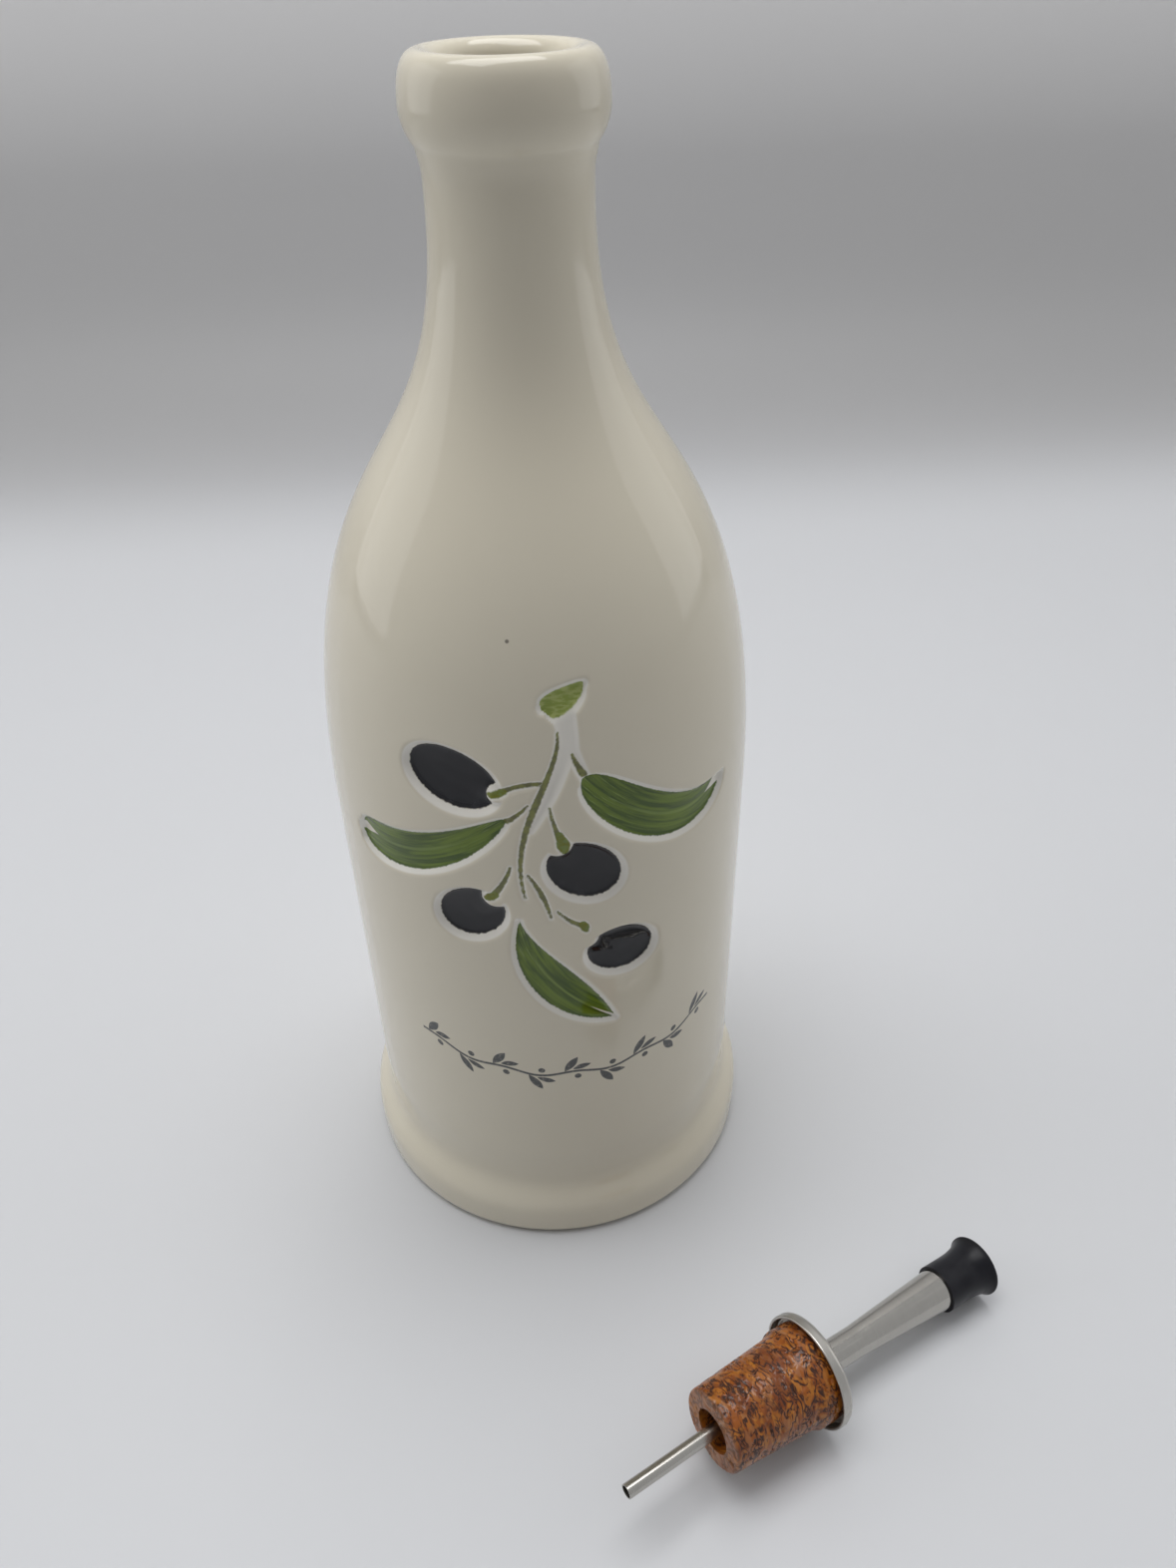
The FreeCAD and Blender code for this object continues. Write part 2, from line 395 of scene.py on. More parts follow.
def arc(centre: Point, radius: float, start: float, end: float, count: int) -> np.ndarray:
    """Points along an arc, its angles in degrees from the radius direction."""
    angles = np.radians(np.linspace(start, end, count))
    return np.stack([centre[0] + radius * np.cos(angles), centre[1] + radius * np.sin(angles)], 1)


def rounded(corners: list[tuple[float, float, float]], count: int = 8) -> np.ndarray:
    """Straight lines through (radius, height, rounding) corners, each rounded by an arc.

    Args:
        corners: The corners; a rounding of 0 keeps one sharp.
        count: Points on each arc.

    Returns:
        The line's points.
    """
    points = np.array([corner[:2] for corner in corners])
    line = [points[0]]
    for index in range(1, len(corners) - 1):
        here, rounding = points[index], corners[index][2]
        if rounding == 0.0:
            line.append(here)
            continue
        back, ahead = points[index - 1] - here, points[index + 1] - here
        back, ahead = back / np.hypot(*back), ahead / np.hypot(*ahead)
        half = math.acos(float(np.clip(back @ ahead, -1.0, 1.0))) / 2.0
        inward = (back + ahead) / np.hypot(*(back + ahead))
        centre = here + inward * rounding / math.sin(half)
        reach = rounding / math.tan(half)
        first, second = here + back * reach - centre, here + ahead * reach - centre
        start, end = math.atan2(first[1], first[0]), math.atan2(second[1], second[0])
        sweep = (end - start + math.pi) % math.tau - math.pi
        angles = start + sweep * np.linspace(0.0, 1.0, count)
        line.extend(centre + rounding * np.stack([np.cos(angles), np.sin(angles)], 1))
    line.append(points[-1])
    return np.array(line)


def joined(pieces: list[np.ndarray]) -> list[Point]:
    """One outline from pieces whose ends meet.

    Args:
        pieces: The pieces in order.

    Returns:
        (radius, height) pairs, with the doubled ends dropped.
    """
    outline: list[Point] = []
    for r, z in np.concatenate(pieces):
        if not outline or math.hypot(r - outline[-1][0], z - outline[-1][1]) > 1e-4:
            outline.append((float(r), float(z)))
    return outline


def turned(outline: list[Point], sectors: list[tuple[float, int]],
           start: float = 0.0) -> bmesh.types.BMesh:
    """Spins an outline around Z.

    Args:
        outline: (radius, height) pairs in millimetres.
        sectors: The angle of each sector in degrees and its number of steps.
        start: The angle of the first line from -Y, in degrees.

    Returns:
        The closed shell, in metres.
    """
    mesh = bmesh.new()
    angle = math.radians(start)
    way = Vector((math.sin(angle), -math.cos(angle), 0.0)) * MM
    verts = [mesh.verts.new(way * r + Vector((0.0, 0.0, z * MM))) for r, z in outline]
    edges = [mesh.edges.new(pair) for pair in zip(verts, verts[1:])]
    last = verts + edges
    for span, steps in sectors:
        last = bmesh.ops.spin(
            mesh, geom=last, cent=(0, 0, 0), axis=(0, 0, 1), dvec=(0, 0, 0),
            angle=math.radians(span), steps=steps, use_merge=len(sectors) == 1,
            use_duplicate=False)["geom_last"]
    bmesh.ops.remove_doubles(mesh, verts=mesh.verts[:], dist=MERGE)
    bmesh.ops.recalc_face_normals(mesh, faces=mesh.faces[:])
    return mesh


def make_object(shape: bmesh.types.BMesh, name: str) -> bpy.types.Object:
    """Turns a bmesh into a smooth-shaded object at the origin.

    Args:
        shape: The bmesh, freed here.
        name: The name of the object and its mesh.

    Returns:
        The object, in the scene.
    """
    mesh = bpy.data.meshes.new(name)
    shape.to_mesh(mesh)
    shape.free()
    mesh.shade_smooth()
    mesh.set_sharp_from_angle(angle=math.radians(SHARP_ANGLE))
    thing = bpy.data.objects.new(name, mesh)
    bpy.context.scene.collection.objects.link(thing)
    return thing


def read_places(mesh: bpy.types.Mesh) -> np.ndarray:
    """Reads a mesh's vertex positions.

    Args:
        mesh: The mesh.

    Returns:
        The positions, one row each.
    """
    flat = np.empty(len(mesh.vertices) * 3)
    mesh.vertices.foreach_get("co", flat)
    return flat.reshape(-1, 3)


def write_places(mesh: bpy.types.Mesh, places: np.ndarray) -> None:
    """Moves the mesh's vertices to new positions."""
    mesh.vertices.foreach_set("co", places.astype(np.float32).ravel())
    mesh.update()


def store(mesh: bpy.types.Mesh, name: str, values: np.ndarray) -> None:
    """Stores a number or a vector at each vertex, for the materials.

    Args:
        mesh: The mesh.
        name: The attribute's name.
        values: One number or one row of three for each vertex.
    """
    vector = values.ndim == 2
    kind, field_name = ("FLOAT_VECTOR", "vector") if vector else ("FLOAT", "value")
    layer = mesh.attributes.new(name, kind, "POINT")
    layer.data.foreach_set(field_name, values.astype(np.float32).ravel())


def eased(values: np.ndarray, low: float, high: float) -> np.ndarray:
    """0 at low, 1 at high, with a smooth start and end."""
    t = np.clip((values - low) / (high - low), 0.0, 1.0)
    return t * t * (3.0 - 2.0 * t)


# ---------------------------------------------------------------- the sprig


@dataclass(frozen=True)
class Press:
    """How a motif is pressed into the clay.

    The wall starts to sink outside the painted edge and reaches its depth a little inside it.
    """

    depth: float
    outside: float
    inside: float
    dish: float = 0.0
    dish_reach: float = 5.0

    def sink(self, distance: np.ndarray) -> np.ndarray:
        """The depth at a signed distance from the painted edge, negative inside."""
        wall = self.depth * eased(-distance, -self.outside, self.inside)
        return wall + self.dish * np.sqrt(np.clip(-distance / self.dish_reach, 0.0, 1.0))


@dataclass(frozen=True)
class Olive:
    """One olive: an ellipse with a bite taken out where its stalk meets it."""

    centre: Point
    long_half: float
    short_half: float
    turn: float
    bite: Point
    bite_r: float

    def distance(self, u: np.ndarray, v: np.ndarray) -> np.ndarray:
        """Measures how far places are from the olive's edge.

        Args:
            u: The places' turns.
            v: The places' heights.

        Returns:
            The signed distances, negative inside.
        """
        angle = math.radians(self.turn)
        x, y = u - self.centre[0], v - self.centre[1]
        along = x * math.cos(angle) + y * math.sin(angle)
        across = -x * math.sin(angle) + y * math.cos(angle)
        one = np.hypot(along / self.long_half, across / self.short_half)
        two = np.hypot(along / self.long_half ** 2, across / self.short_half ** 2)
        ellipse = one * (one - 1.0) / np.maximum(two, 1e-6)
        bite = self.bite_r - np.hypot(u - self.bite[0], v - self.bite[1])
        return np.maximum(ellipse, bite)


@dataclass(frozen=True)
class Leaf:
    """One leaf: a bent centre line with a half width on either side of it.

    The fullest place lies at the share `fullest` of the length, and `taper` sets how fast the leaf
    narrows away from it. The slit is a bare gap in the paint that opens towards the tip.
    """

    line: tuple[Point, Point, Point, Point]
    left_half: float
    right_half: float
    fullest: float
    taper: float
    slit_start: float = 2.0
    slit_half: float = 0.0

    def measure(self, u: np.ndarray, v: np.ndarray) -> tuple[np.ndarray, ...]:
        """Where places lie on the leaf.

        Args:
            u: The places' turns.
            v: The places' heights.

        Returns:
            The signed distance to the edge, the share of the length, the distance across (positive
            on the left of the line) and the slit's half width there.
        """
        points = bezier(self.line, LINE_POINTS)
        ways = np.gradient(points, axis=0)
        ways /= np.hypot(*ways.T)[:, None]
        nearest = np.empty(len(u), int)
        for first in range(0, len(u), BATCH):
            part = slice(first, first + BATCH)
            gaps = (u[part, None] - points[:, 0]) ** 2 + (v[part, None] - points[:, 1]) ** 2
            nearest[part] = gaps.argmin(axis=1)
        t = nearest / (len(points) - 1.0)
        x, y = u - points[nearest, 0], v - points[nearest, 1]
        along = x * ways[nearest, 0] + y * ways[nearest, 1]
        across = -x * ways[nearest, 1] + y * ways[nearest, 0]
        share = np.clip(t, 1e-4, 1 - 1e-4)
        width = ((share / self.fullest) ** (self.taper * self.fullest)
                 * ((1 - share) / (1 - self.fullest)) ** (self.taper * (1 - self.fullest)))
        half = np.where(across > 0, self.left_half, self.right_half) * width
        beyond = np.where((t == 0) | (t == 1), np.abs(along), 0.0)
        distance = np.where(beyond > 0, np.hypot(beyond, np.maximum(np.abs(across) - half, 0.0)),
                            np.abs(across) - half)
        slit = self.slit_half * eased(t, self.slit_start, 1.0)
        return distance, t, across, slit


@dataclass(frozen=True)
class Stroke:
    """One brush stroke: a bent line whose half width changes from its start to its end."""

    line: tuple[Point, ...]
    start_half: float
    middle_half: float
    end_half: float

    def distance(self, u: np.ndarray, v: np.ndarray) -> np.ndarray:
        """Measures how far places are from the stroke's edge.

        Args:
            u: The places' turns.
            v: The places' heights.

        Returns:
            The signed distances, negative inside.
        """
        points = bezier(self.line, STROKE_POINTS)
        share = np.linspace(0.0, 1.0, len(points))
        halves = np.interp(share, (0.0, 0.5, 1.0),
                           (self.start_half, self.middle_half, self.end_half))
        best = np.full(len(u), FAR)
        for (x, y), half in zip(points, halves):
            np.minimum(best, np.hypot(u - x, v - y) - half, out=best)
        return best


@dataclass(frozen=True)
class Sprig:
    """The olive sprig that is pressed into the bottle's front and painted."""

    olives: tuple[Olive, ...] = (
        Olive((-21.2, 160.3), 11.3, 6.9, -16.0, (-10.2, 157.6), 2.7),
        Olive((8.8, 135.5), 9.7, 7.3, -36.0, (2.6, 144.4), 3.8),
        Olive((-18.9, 122.5), 8.8, 7.0, 27.0, (-12.4, 128.7), 3.6),
        Olive((17.6, 108.3), 8.8, 6.8, -9.5, (8.6, 114.2), 3.4),
    )
    leaves: tuple[Leaf, ...] = (
        Leaf(((9.5, 161.0), (16.5, 152.0), (34.5, 136.0), (49.5, 146.0)), 5.8, 5.8, 0.46, 1.15,
             0.86, 1.5),
        Leaf(((-8.5, 151.5), (-19.0, 142.5), (-36.0, 132.5), (-51.4, 135.4)), 5.5, 5.3, 0.72, 1.0,
             0.87, 1.3),
        Leaf(((-7.2, 122.0), (-7.5, 109.0), (1.5, 95.0), (15.5, 85.0)), 5.8, 5.4, 0.60, 2.2,
             0.80, 0.35),
    )
    bud: Leaf = Leaf(((0.6, 178.4), (3.0, 179.8), (6.5, 180.6), (10.8, 182.6)), 1.5, 4.2,
                     0.36, 0.9)
    stems: tuple[Stroke, ...] = (
        Stroke(((3.9, 172.5), (4.6, 163.0), (-9.2, 150.0), (-5.3, 129.5)), 0.35, 0.85, 0.4),
        Stroke(((7.0, 167.0), (7.8, 164.5), (9.4, 162.0)), 0.35, 0.6, 0.9),
        Stroke(((-3.6, 155.5), (-5.0, 153.5), (-8.6, 151.2)), 0.3, 0.45, 0.7),
        Stroke(((-0.6, 161.0), (-5.0, 161.0), (-9.5, 158.9)), 0.5, 0.55, 0.6),
        Stroke(((1.3, 154.6), (2.0, 149.0), (4.2, 144.0)), 0.3, 0.5, 1.2),
        Stroke(((-8.3, 138.5), (-9.6, 133.8), (-13.0, 129.4)), 0.35, 0.6, 0.9),
        Stroke(((-4.4, 136.3), (-0.9, 130.5), (0.4, 122.8)), 0.35, 0.7, 0.3),
        Stroke(((1.9, 124.9), (5.0, 120.4), (8.4, 119.2)), 0.3, 0.55, 0.8),
    )
    calyces: tuple[Stroke, ...] = (
        Stroke(((-8.6, 158.9), (-10.2, 158.2), (-12.2, 157.6)), 0.7, 1.0, 0.6),
        Stroke(((3.2, 147.4), (4.0, 144.4), (4.7, 141.4)), 0.8, 1.6, 0.5),
        Stroke(((-12.4, 129.8), (-13.4, 129.0), (-14.6, 128.6)), 1.0, 1.2, 0.7),
        Stroke(((7.8, 119.8), (8.3, 118.6), (8.7, 117.4)), 1.0, 1.1, 0.5),
    )
    bare_branch: tuple[Stroke, ...] = (
        Stroke(((5.6, 177.0), (6.4, 172.0), (6.6, 168.0)), 2.4, 2.0, 1.7),
        Stroke(((6.0, 169.0), (3.5, 160.0), (-3.0, 149.0)), 1.5, 1.2, 0.6),
        Stroke(((6.8, 168.5), (8.0, 165.0), (9.6, 161.5)), 1.4, 1.2, 1.0),
    )
    olive_press: Press = Press(1.6, 1.9, 0.5, 0.7)
    leaf_press: Press = Press(1.2, 1.7, 0.5, 0.3)
    stem_press: Press = Press(0.55, 1.0, 0.5)
    branch_press: Press = Press(0.9, 1.0, 0.8)
    side_reach: float = 60.0
    lowest: float = 78.0
    highest: float = 190.0
    wall_skin: float = 2.0

    def press_into(self, mesh: bpy.types.Mesh, shape: "BottleShape") -> None:
        """Sinks the sprig into a bottle's outer wall and stores what the paint needs.

        Args:
            mesh: The bottle's mesh.
            shape: The bottle's shape, which tells the outer wall from the inner one.
        """
        places = read_places(mesh)
        x, y, v = (places / MM).T
        u = BODY_R * np.arctan2(x, -y)
        radius = np.hypot(x, y)
        near = ((np.abs(u) < self.side_reach) & (v > self.lowest) & (v < self.highest)
                & (radius > shape.wall_at(v) - self.wall_skin))
        u, v = u[near], v[near]

        olive = np.minimum.reduce([olive.distance(u, v) for olive in self.olives])
        stem = np.minimum.reduce([stroke.distance(u, v) for stroke in self.stems])
        calyx = np.minimum.reduce([stroke.distance(u, v) for stroke in self.calyces])
        branch = np.minimum.reduce([stroke.distance(u, v) for stroke in self.bare_branch])
        bud = self.bud.measure(u, v)[0]
        measured = [leaf.measure(u, v) for leaf in self.leaves]
        chosen = np.argmin([m[0] for m in measured], axis=0)
        leaf, share, across, slit = (
            np.choose(chosen, [m[index] for m in measured]) for index in range(4))

        depths = [
            self.olive_press.sink(olive),
            self.leaf_press.sink(np.minimum(leaf, bud)),
            self.stem_press.sink(np.minimum(stem, calyx)),
            self.branch_press.sink(branch),
        ]
        depth = sum(d ** 4 for d in depths) ** 0.25
        shrink = 1.0 - depth / radius[near]
        places[near, 0] *= shrink
        places[near, 1] *= shrink
        write_places(mesh, places)

        for name, values in (("olive", olive), ("leaf", leaf), ("stem", stem), ("calyx", calyx),
                             ("bud", bud)):
            whole = np.full(len(places), FAR)
            whole[near] = np.clip(values, -FAR, FAR)
            store(mesh, name, whole)
        way = np.zeros((len(places), 3))
        way[near] = np.stack([share, across + LEAF_STEP * chosen, slit], axis=1)
        store(mesh, "leaf_way", way)
        pressed = np.zeros(len(places))
        pressed[near] = depth
        store(mesh, "pressed", pressed)


# ---------------------------------------------------------------- finishes


@dataclass(frozen=True)
class Glaze:
    """Ivory glaze over the pressed and painted clay, with a painted garland under the sprig."""

    effects: Effects
    ivory: Colour = (0.755, 0.705, 0.575)
    warm: Colour = (0.69, 0.62, 0.49)
    # Pale colour of the pressed slopes: partly thinner glaze, partly a painted highlight for the
    # light those slopes catch.
    thin_glaze_and_highlight: Colour = (0.93, 0.91, 0.85)
    biscuit: Colour = (0.70, 0.63, 0.52)
    leaf_dark: Colour = (0.052, 0.098, 0.007)
    leaf_green: Colour = (0.155, 0.235, 0.018)
    leaf_light: Colour = (0.270, 0.370, 0.085)
    bud_green: Colour = (0.460, 0.530, 0.160)
    bud_shade: Colour = (0.300, 0.385, 0.070)
    stem_olive: Colour = (0.190, 0.205, 0.012)
    stem_dark: Colour = (0.110, 0.115, 0.006)
    olive_black: Colour = (0.003, 0.003, 0.006)
    olive_grey: Colour = (0.022, 0.022, 0.028)
    garland_grey: Colour = (0.045, 0.052, 0.060)
    calyx_green: Colour = (0.200, 0.260, 0.050)
    speck: Colour = (0.10, 0.085, 0.07)
    warm_share: float = 0.22
    thin_glaze_and_highlight_share: float = 0.85
    wobble: float = 0.5
    foot_rough: float = 0.75
    rough: Point = (0.055, 0.085)
    outer_wall: Point = (0.0502, 0.0512)
    garland_start: float = -38.0
    garland_end: float = 48.0
    garland_height: float = 67.0
    garland_middle: float = 8.0
    garland_rise: float = 0.0035
    sprig_pitch: float = 9.4
    garland_wave: float = 0.7
    specks: tuple[Triple, ...] = ((-6.6, 192.2, 0.42), (17.5, 283.5, 0.35))

    def garland(self, graph: Graph, u: object, v: object) -> Socket:
        """A mask of a slender waving twig with small leaves on either side and a berry between
        them.

        Args:
            graph: The glaze's graph.
            u: The turn in millimetres.
            v: The height in millimetres.

        Returns:
            The painted share, 0 to 1.
        """
        from_middle = graph.math("SUBTRACT", u, self.garland_middle)
        bow = graph.math("MULTIPLY", graph.math("POWER", from_middle, 2.0), self.garland_rise)
        wave = graph.math("SINE", graph.math("MULTIPLY", u, math.pi / self.sprig_pitch))
        rise = graph.math("MULTIPLY_ADD", wave, self.garland_wave, self.garland_height)
        above = graph.math("SUBTRACT", v, graph.math("ADD", bow, rise))

        line = graph.ramp(graph.math("ABSOLUTE", above), 0.30, 0.52, 1.0, 0.0)
        cell = graph.math("DIVIDE", graph.math("SUBTRACT", u, self.garland_start), self.sprig_pitch)
        index = graph.math("FLOOR", cell)
        parity = graph.math("MODULO", index, 2.0)
        side = graph.math("MULTIPLY_ADD", parity, -2.0, 1.0)
        local_x = graph.math("MULTIPLY", graph.math("SUBTRACT", graph.math("FRACT", cell), 0.5),
                             self.sprig_pitch)
        local_y = graph.math("MULTIPLY", above, side)

        def petal(x: float, y: float, turn: float, long_half: float, short_half: float) -> Socket:
            """A pointed leaf in each cell.

            Args:
                x: Its middle along the cell.
                y: Its middle above the twig.
                turn: Its slope in degrees.
                long_half: Half its length.
                short_half: Half its width.

            Returns:
                The leaf's mask.
            """
            cos, sin = math.cos(math.radians(turn)), math.sin(math.radians(turn))
            dx = graph.math("SUBTRACT", local_x, x)
            dy = graph.math("SUBTRACT", local_y, y)
            along = graph.math("ADD", graph.math("MULTIPLY", dx, cos),
                               graph.math("MULTIPLY", dy, sin))
            over = graph.math("SUBTRACT", graph.math("MULTIPLY", dy, cos),
                              graph.math("MULTIPLY", dx, sin))
            share = graph.math("POWER", graph.math("DIVIDE", along, long_half), 2.0)
            bound = graph.math("MULTIPLY", graph.math("SUBTRACT", 1.0, share), short_half)
            edge = graph.math("SUBTRACT", graph.math("ABSOLUTE", over), bound)
            return graph.ramp(edge, -0.10, 0.10, 1.0, 0.0)

        leaves = graph.math("MAXIMUM", petal(-0.8, 2.9, 55.0, 3.1, 1.15),
                            petal(2.0, 1.8, 22.0, 2.6, 0.85))
        berry_gap = graph.math("SQRT", graph.math(
            "ADD", graph.math("POWER", graph.math("SUBTRACT", local_x, 0.9), 2.0),
            graph.math("POWER", graph.math("ADD", local_y, 2.0), 2.0)))
        berry = graph.ramp(berry_gap, 0.80, 1.0, 1.0, 0.0)
        painted = graph.math("MAXIMUM", graph.math("MAXIMUM", line, leaves), berry)
        begin = graph.ramp(u, self.garland_start, self.garland_start + 0.3)
        end = graph.ramp(u, self.garland_end - 0.3, self.garland_end, 1.0, 0.0)
        return graph.math("MULTIPLY", painted, graph.math("MULTIPLY", begin, end))

    def ground(self, graph: Graph, place: Socket, mottle: Socket, wall: "BottleShape") -> Socket:
        """The bare glaze: warmer in patches, paler on the pressed slopes, with specks.

        Args:
            graph: The glaze's graph.
            place: Object coordinates.
            mottle: The soft patches, 0 to 1.
            wall: The bottle's shape, which places the specks.

        Returns:
            The colour.
        """
        pressed = graph.attribute("pressed")
        colour = graph.blend(graph.math("MULTIPLY", mottle, self.warm_share), self.ivory, self.warm)
        # Painted highlight, partly real: the pressed slopes are paled, for thinner glaze and for
        # the light they catch.
        slope = graph.math("MULTIPLY", graph.ramp(pressed, 0.04, 0.4),
                           graph.ramp(pressed, 1.7, 1.2))
        colour = graph.blend(graph.math("MULTIPLY", slope, self.thin_glaze_and_highlight_share), colour, self.thin_glaze_and_highlight)
        for turn, height, radius in self.specks:
            angle = turn / BODY_R
            reach = wall.wall_at(np.array([height]))[0] * MM
            centre = (reach * math.sin(angle), -reach * math.cos(angle), height * MM)
            gap = graph.add("VectorMath", {0: place, 1: centre}, operation="DISTANCE")
            spot = graph.ramp(gap.outputs["Value"], radius * MM * 0.6, radius * MM * 1.3, 0.8, 0.0)
            colour = graph.blend(spot, colour, self.speck)
        return colour

    def leaf_paint(self, graph: Graph, leaf: Socket) -> tuple[Socket, Socket]:
        """The leaves' brushed paint, with a pale rib and a bare slit at the tip.

        Args:
            graph: The glaze's graph.
            leaf: The distance to the leaves' edge.

        Returns:
            The colour, and the share that the slit doesn't leave bare.
        """
        way = graph.add("SeparateXYZ", {0: graph.attribute("leaf_way", "Vector")})
        share, across, slit_half = way.outputs
        brush = graph.add("CombineXYZ", {"X": graph.math("MULTIPLY", share, 2.2),
                                         "Y": graph.math("MULTIPLY", across, 0.75)}).outputs[0]
        streak = graph.noise(brush, 1.0, detail=4.0, roughness=0.6, distortion=0.3)
        fine = graph.noise(graph.stretched(brush, (2.5, 3.2, 1.0)), 1.0, detail=3.0)
        colour = graph.blend(graph.ramp(streak, 0.36, 0.62), self.leaf_dark, self.leaf_green)
        light = graph.math("MULTIPLY", graph.ramp(fine, 0.56, 0.70), graph.ramp(share, 0.55, 0.15))
        colour = graph.blend(graph.math("MULTIPLY", light, 0.8), colour, self.leaf_light)
        edge = graph.math("MULTIPLY", graph.ramp(leaf, -0.9, -0.1), 0.45)
        colour = graph.blend(edge, colour, self.leaf_dark)

        half_step = LEAF_STEP / 2.0
        in_leaf = graph.math("FLOORED_MODULO", graph.math("ADD", across, half_step), LEAF_STEP)
        off_line = graph.math("ABSOLUTE", graph.math("SUBTRACT", in_leaf, half_step))
        middle = graph.math("MULTIPLY", graph.ramp(share, 0.25, 0.45), graph.ramp(share, 0.95, 0.8))
        rib = graph.math("MULTIPLY", graph.ramp(off_line, 0.15, 0.55, 0.75, 0.0), middle)
        colour = graph.blend(graph.math("MULTIPLY", rib, 0.6), colour, self.leaf_light)
        slit = graph.ramp(graph.math("SUBTRACT", off_line, slit_half), -0.12, 0.12, 1.0, 0.0)
        slit = graph.math("MULTIPLY", slit, graph.ramp(slit_half, 0.02, 0.1))
        return colour, graph.math("SUBTRACT", 1.0, slit)

    def sprig_paint(self, graph: Graph, colour: Socket, flat: Socket) -> Socket:
        """Paints the leaves, stems, calyces, bud and olives.

        Args:
            graph: The glaze's graph.
            colour: The glaze's own colour.
            flat: The turn and the height in millimetres.

        Returns:
            The painted colour.
        """
        wobble = graph.math("MULTIPLY", graph.math("SUBTRACT", graph.noise(flat, 1.1), 0.5),
                            self.wobble)

        def painted(edge: Socket, soft: float) -> Socket:
            """The share that is inside a painted edge."""
            return graph.ramp(graph.math("ADD", edge, wobble), -soft, soft, 1.0, 0.0)

        leaf, olive = graph.attribute("leaf"), graph.attribute("olive")
        leaf_colour, whole = self.leaf_paint(graph, leaf)
        share = graph.math("MULTIPLY", painted(leaf, 0.16), whole)
        colour = graph.blend(share, colour, leaf_colour)
        tone = graph.ramp(graph.noise(flat, 0.6, 3.0), 0.40, 0.62)
        stem_colour = graph.blend(tone, self.stem_dark, self.stem_olive)
        stem = graph.math("MULTIPLY", painted(graph.attribute("stem"), 0.20), 0.92)
        colour = graph.blend(stem, colour, stem_colour)
        calyx_colour = graph.blend(tone, self.stem_olive, self.calyx_green)
        colour = graph.blend(painted(graph.attribute("calyx"), 0.22), colour, calyx_colour)
        slanted = graph.stretched(flat, (0.6, 2.0, 1.0), turn=(0.0, 0.0, -0.4))
        bud_tone = graph.ramp(graph.noise(slanted, 0.7, 3.0), 0.42, 0.62)
        bud_colour = graph.blend(bud_tone, self.bud_shade, self.bud_green)
        colour = graph.blend(painted(graph.attribute("bud"), 0.22), colour, bud_colour)
        olive_tone = graph.math("MULTIPLY", graph.ramp(graph.noise(flat, 0.22, 3.0), 0.45, 0.75),
                                graph.ramp(olive, -3.5, -0.4))
        olive_colour = graph.blend(olive_tone, self.olive_black, self.olive_grey)
        return graph.blend(painted(olive, 0.14), colour, olive_colour)

    def material(self, wall: "BottleShape") -> bpy.types.Material:
        """Builds the glaze.

        Args:
            wall: The bottle's shape, which places the specks.

        Returns:
            The material.
        """
        name = "ivory_glaze_with_sprig"
        graph = new_material(name)
        place = graph.add("TexCoord").outputs["Object"]
        x, y, z = graph.add("SeparateXYZ", {0: place}).outputs
        v = graph.math("MULTIPLY", z, 1.0 / MM)
        front = graph.math("MULTIPLY", y, -1.0)
        u = graph.math("MULTIPLY", graph.math("ARCTAN2", x, front), BODY_R)
        flat = graph.add("CombineXYZ", {"X": u, "Y": v}).outputs[0]
        mottle = graph.group(self.effects.mottle, {"Vector": place, "Scale": 16.0,
                                                   "Contrast": 2.5}).outputs[0]
        colour = self.sprig_paint(graph, self.ground(graph, place, mottle, wall), flat)

        garland = graph.math("MULTIPLY", self.garland(graph, u, v),
                             graph.ramp(graph.noise(flat, 0.9, 3.0), 0.25, 0.5, 0.7, 0.95))
        radius = graph.math("SQRT", graph.math("ADD", graph.math("POWER", x, 2.0),
                                               graph.math("POWER", y, 2.0)))
        outer = graph.ramp(radius, *self.outer_wall)
        colour = graph.blend(graph.math("MULTIPLY", garland, outer), colour, self.garland_grey)
        foot = graph.ramp(v, 0.9, 0.1)
        colour = graph.blend(foot, colour, self.biscuit)
        rough = graph.ramp(mottle, 0.0, 1.0, *self.rough)
        rough = graph.math("MAXIMUM", rough, graph.math("MULTIPLY", foot, self.foot_rough))
        waves = graph.noise(graph.stretched(place, (1.0, 1.0, 0.6)), 45.0, detail=1.0)
        pores = graph.noise(place, 700.0, detail=1.0)
        normal = bump(graph, pores, 0.00003, 0.25, bump(graph, waves, 0.0006, 0.22))
        return close_material(graph, name, {
            "Base Color": colour, "Roughness": rough, "Normal": normal, "IOR": 1.47,
        })


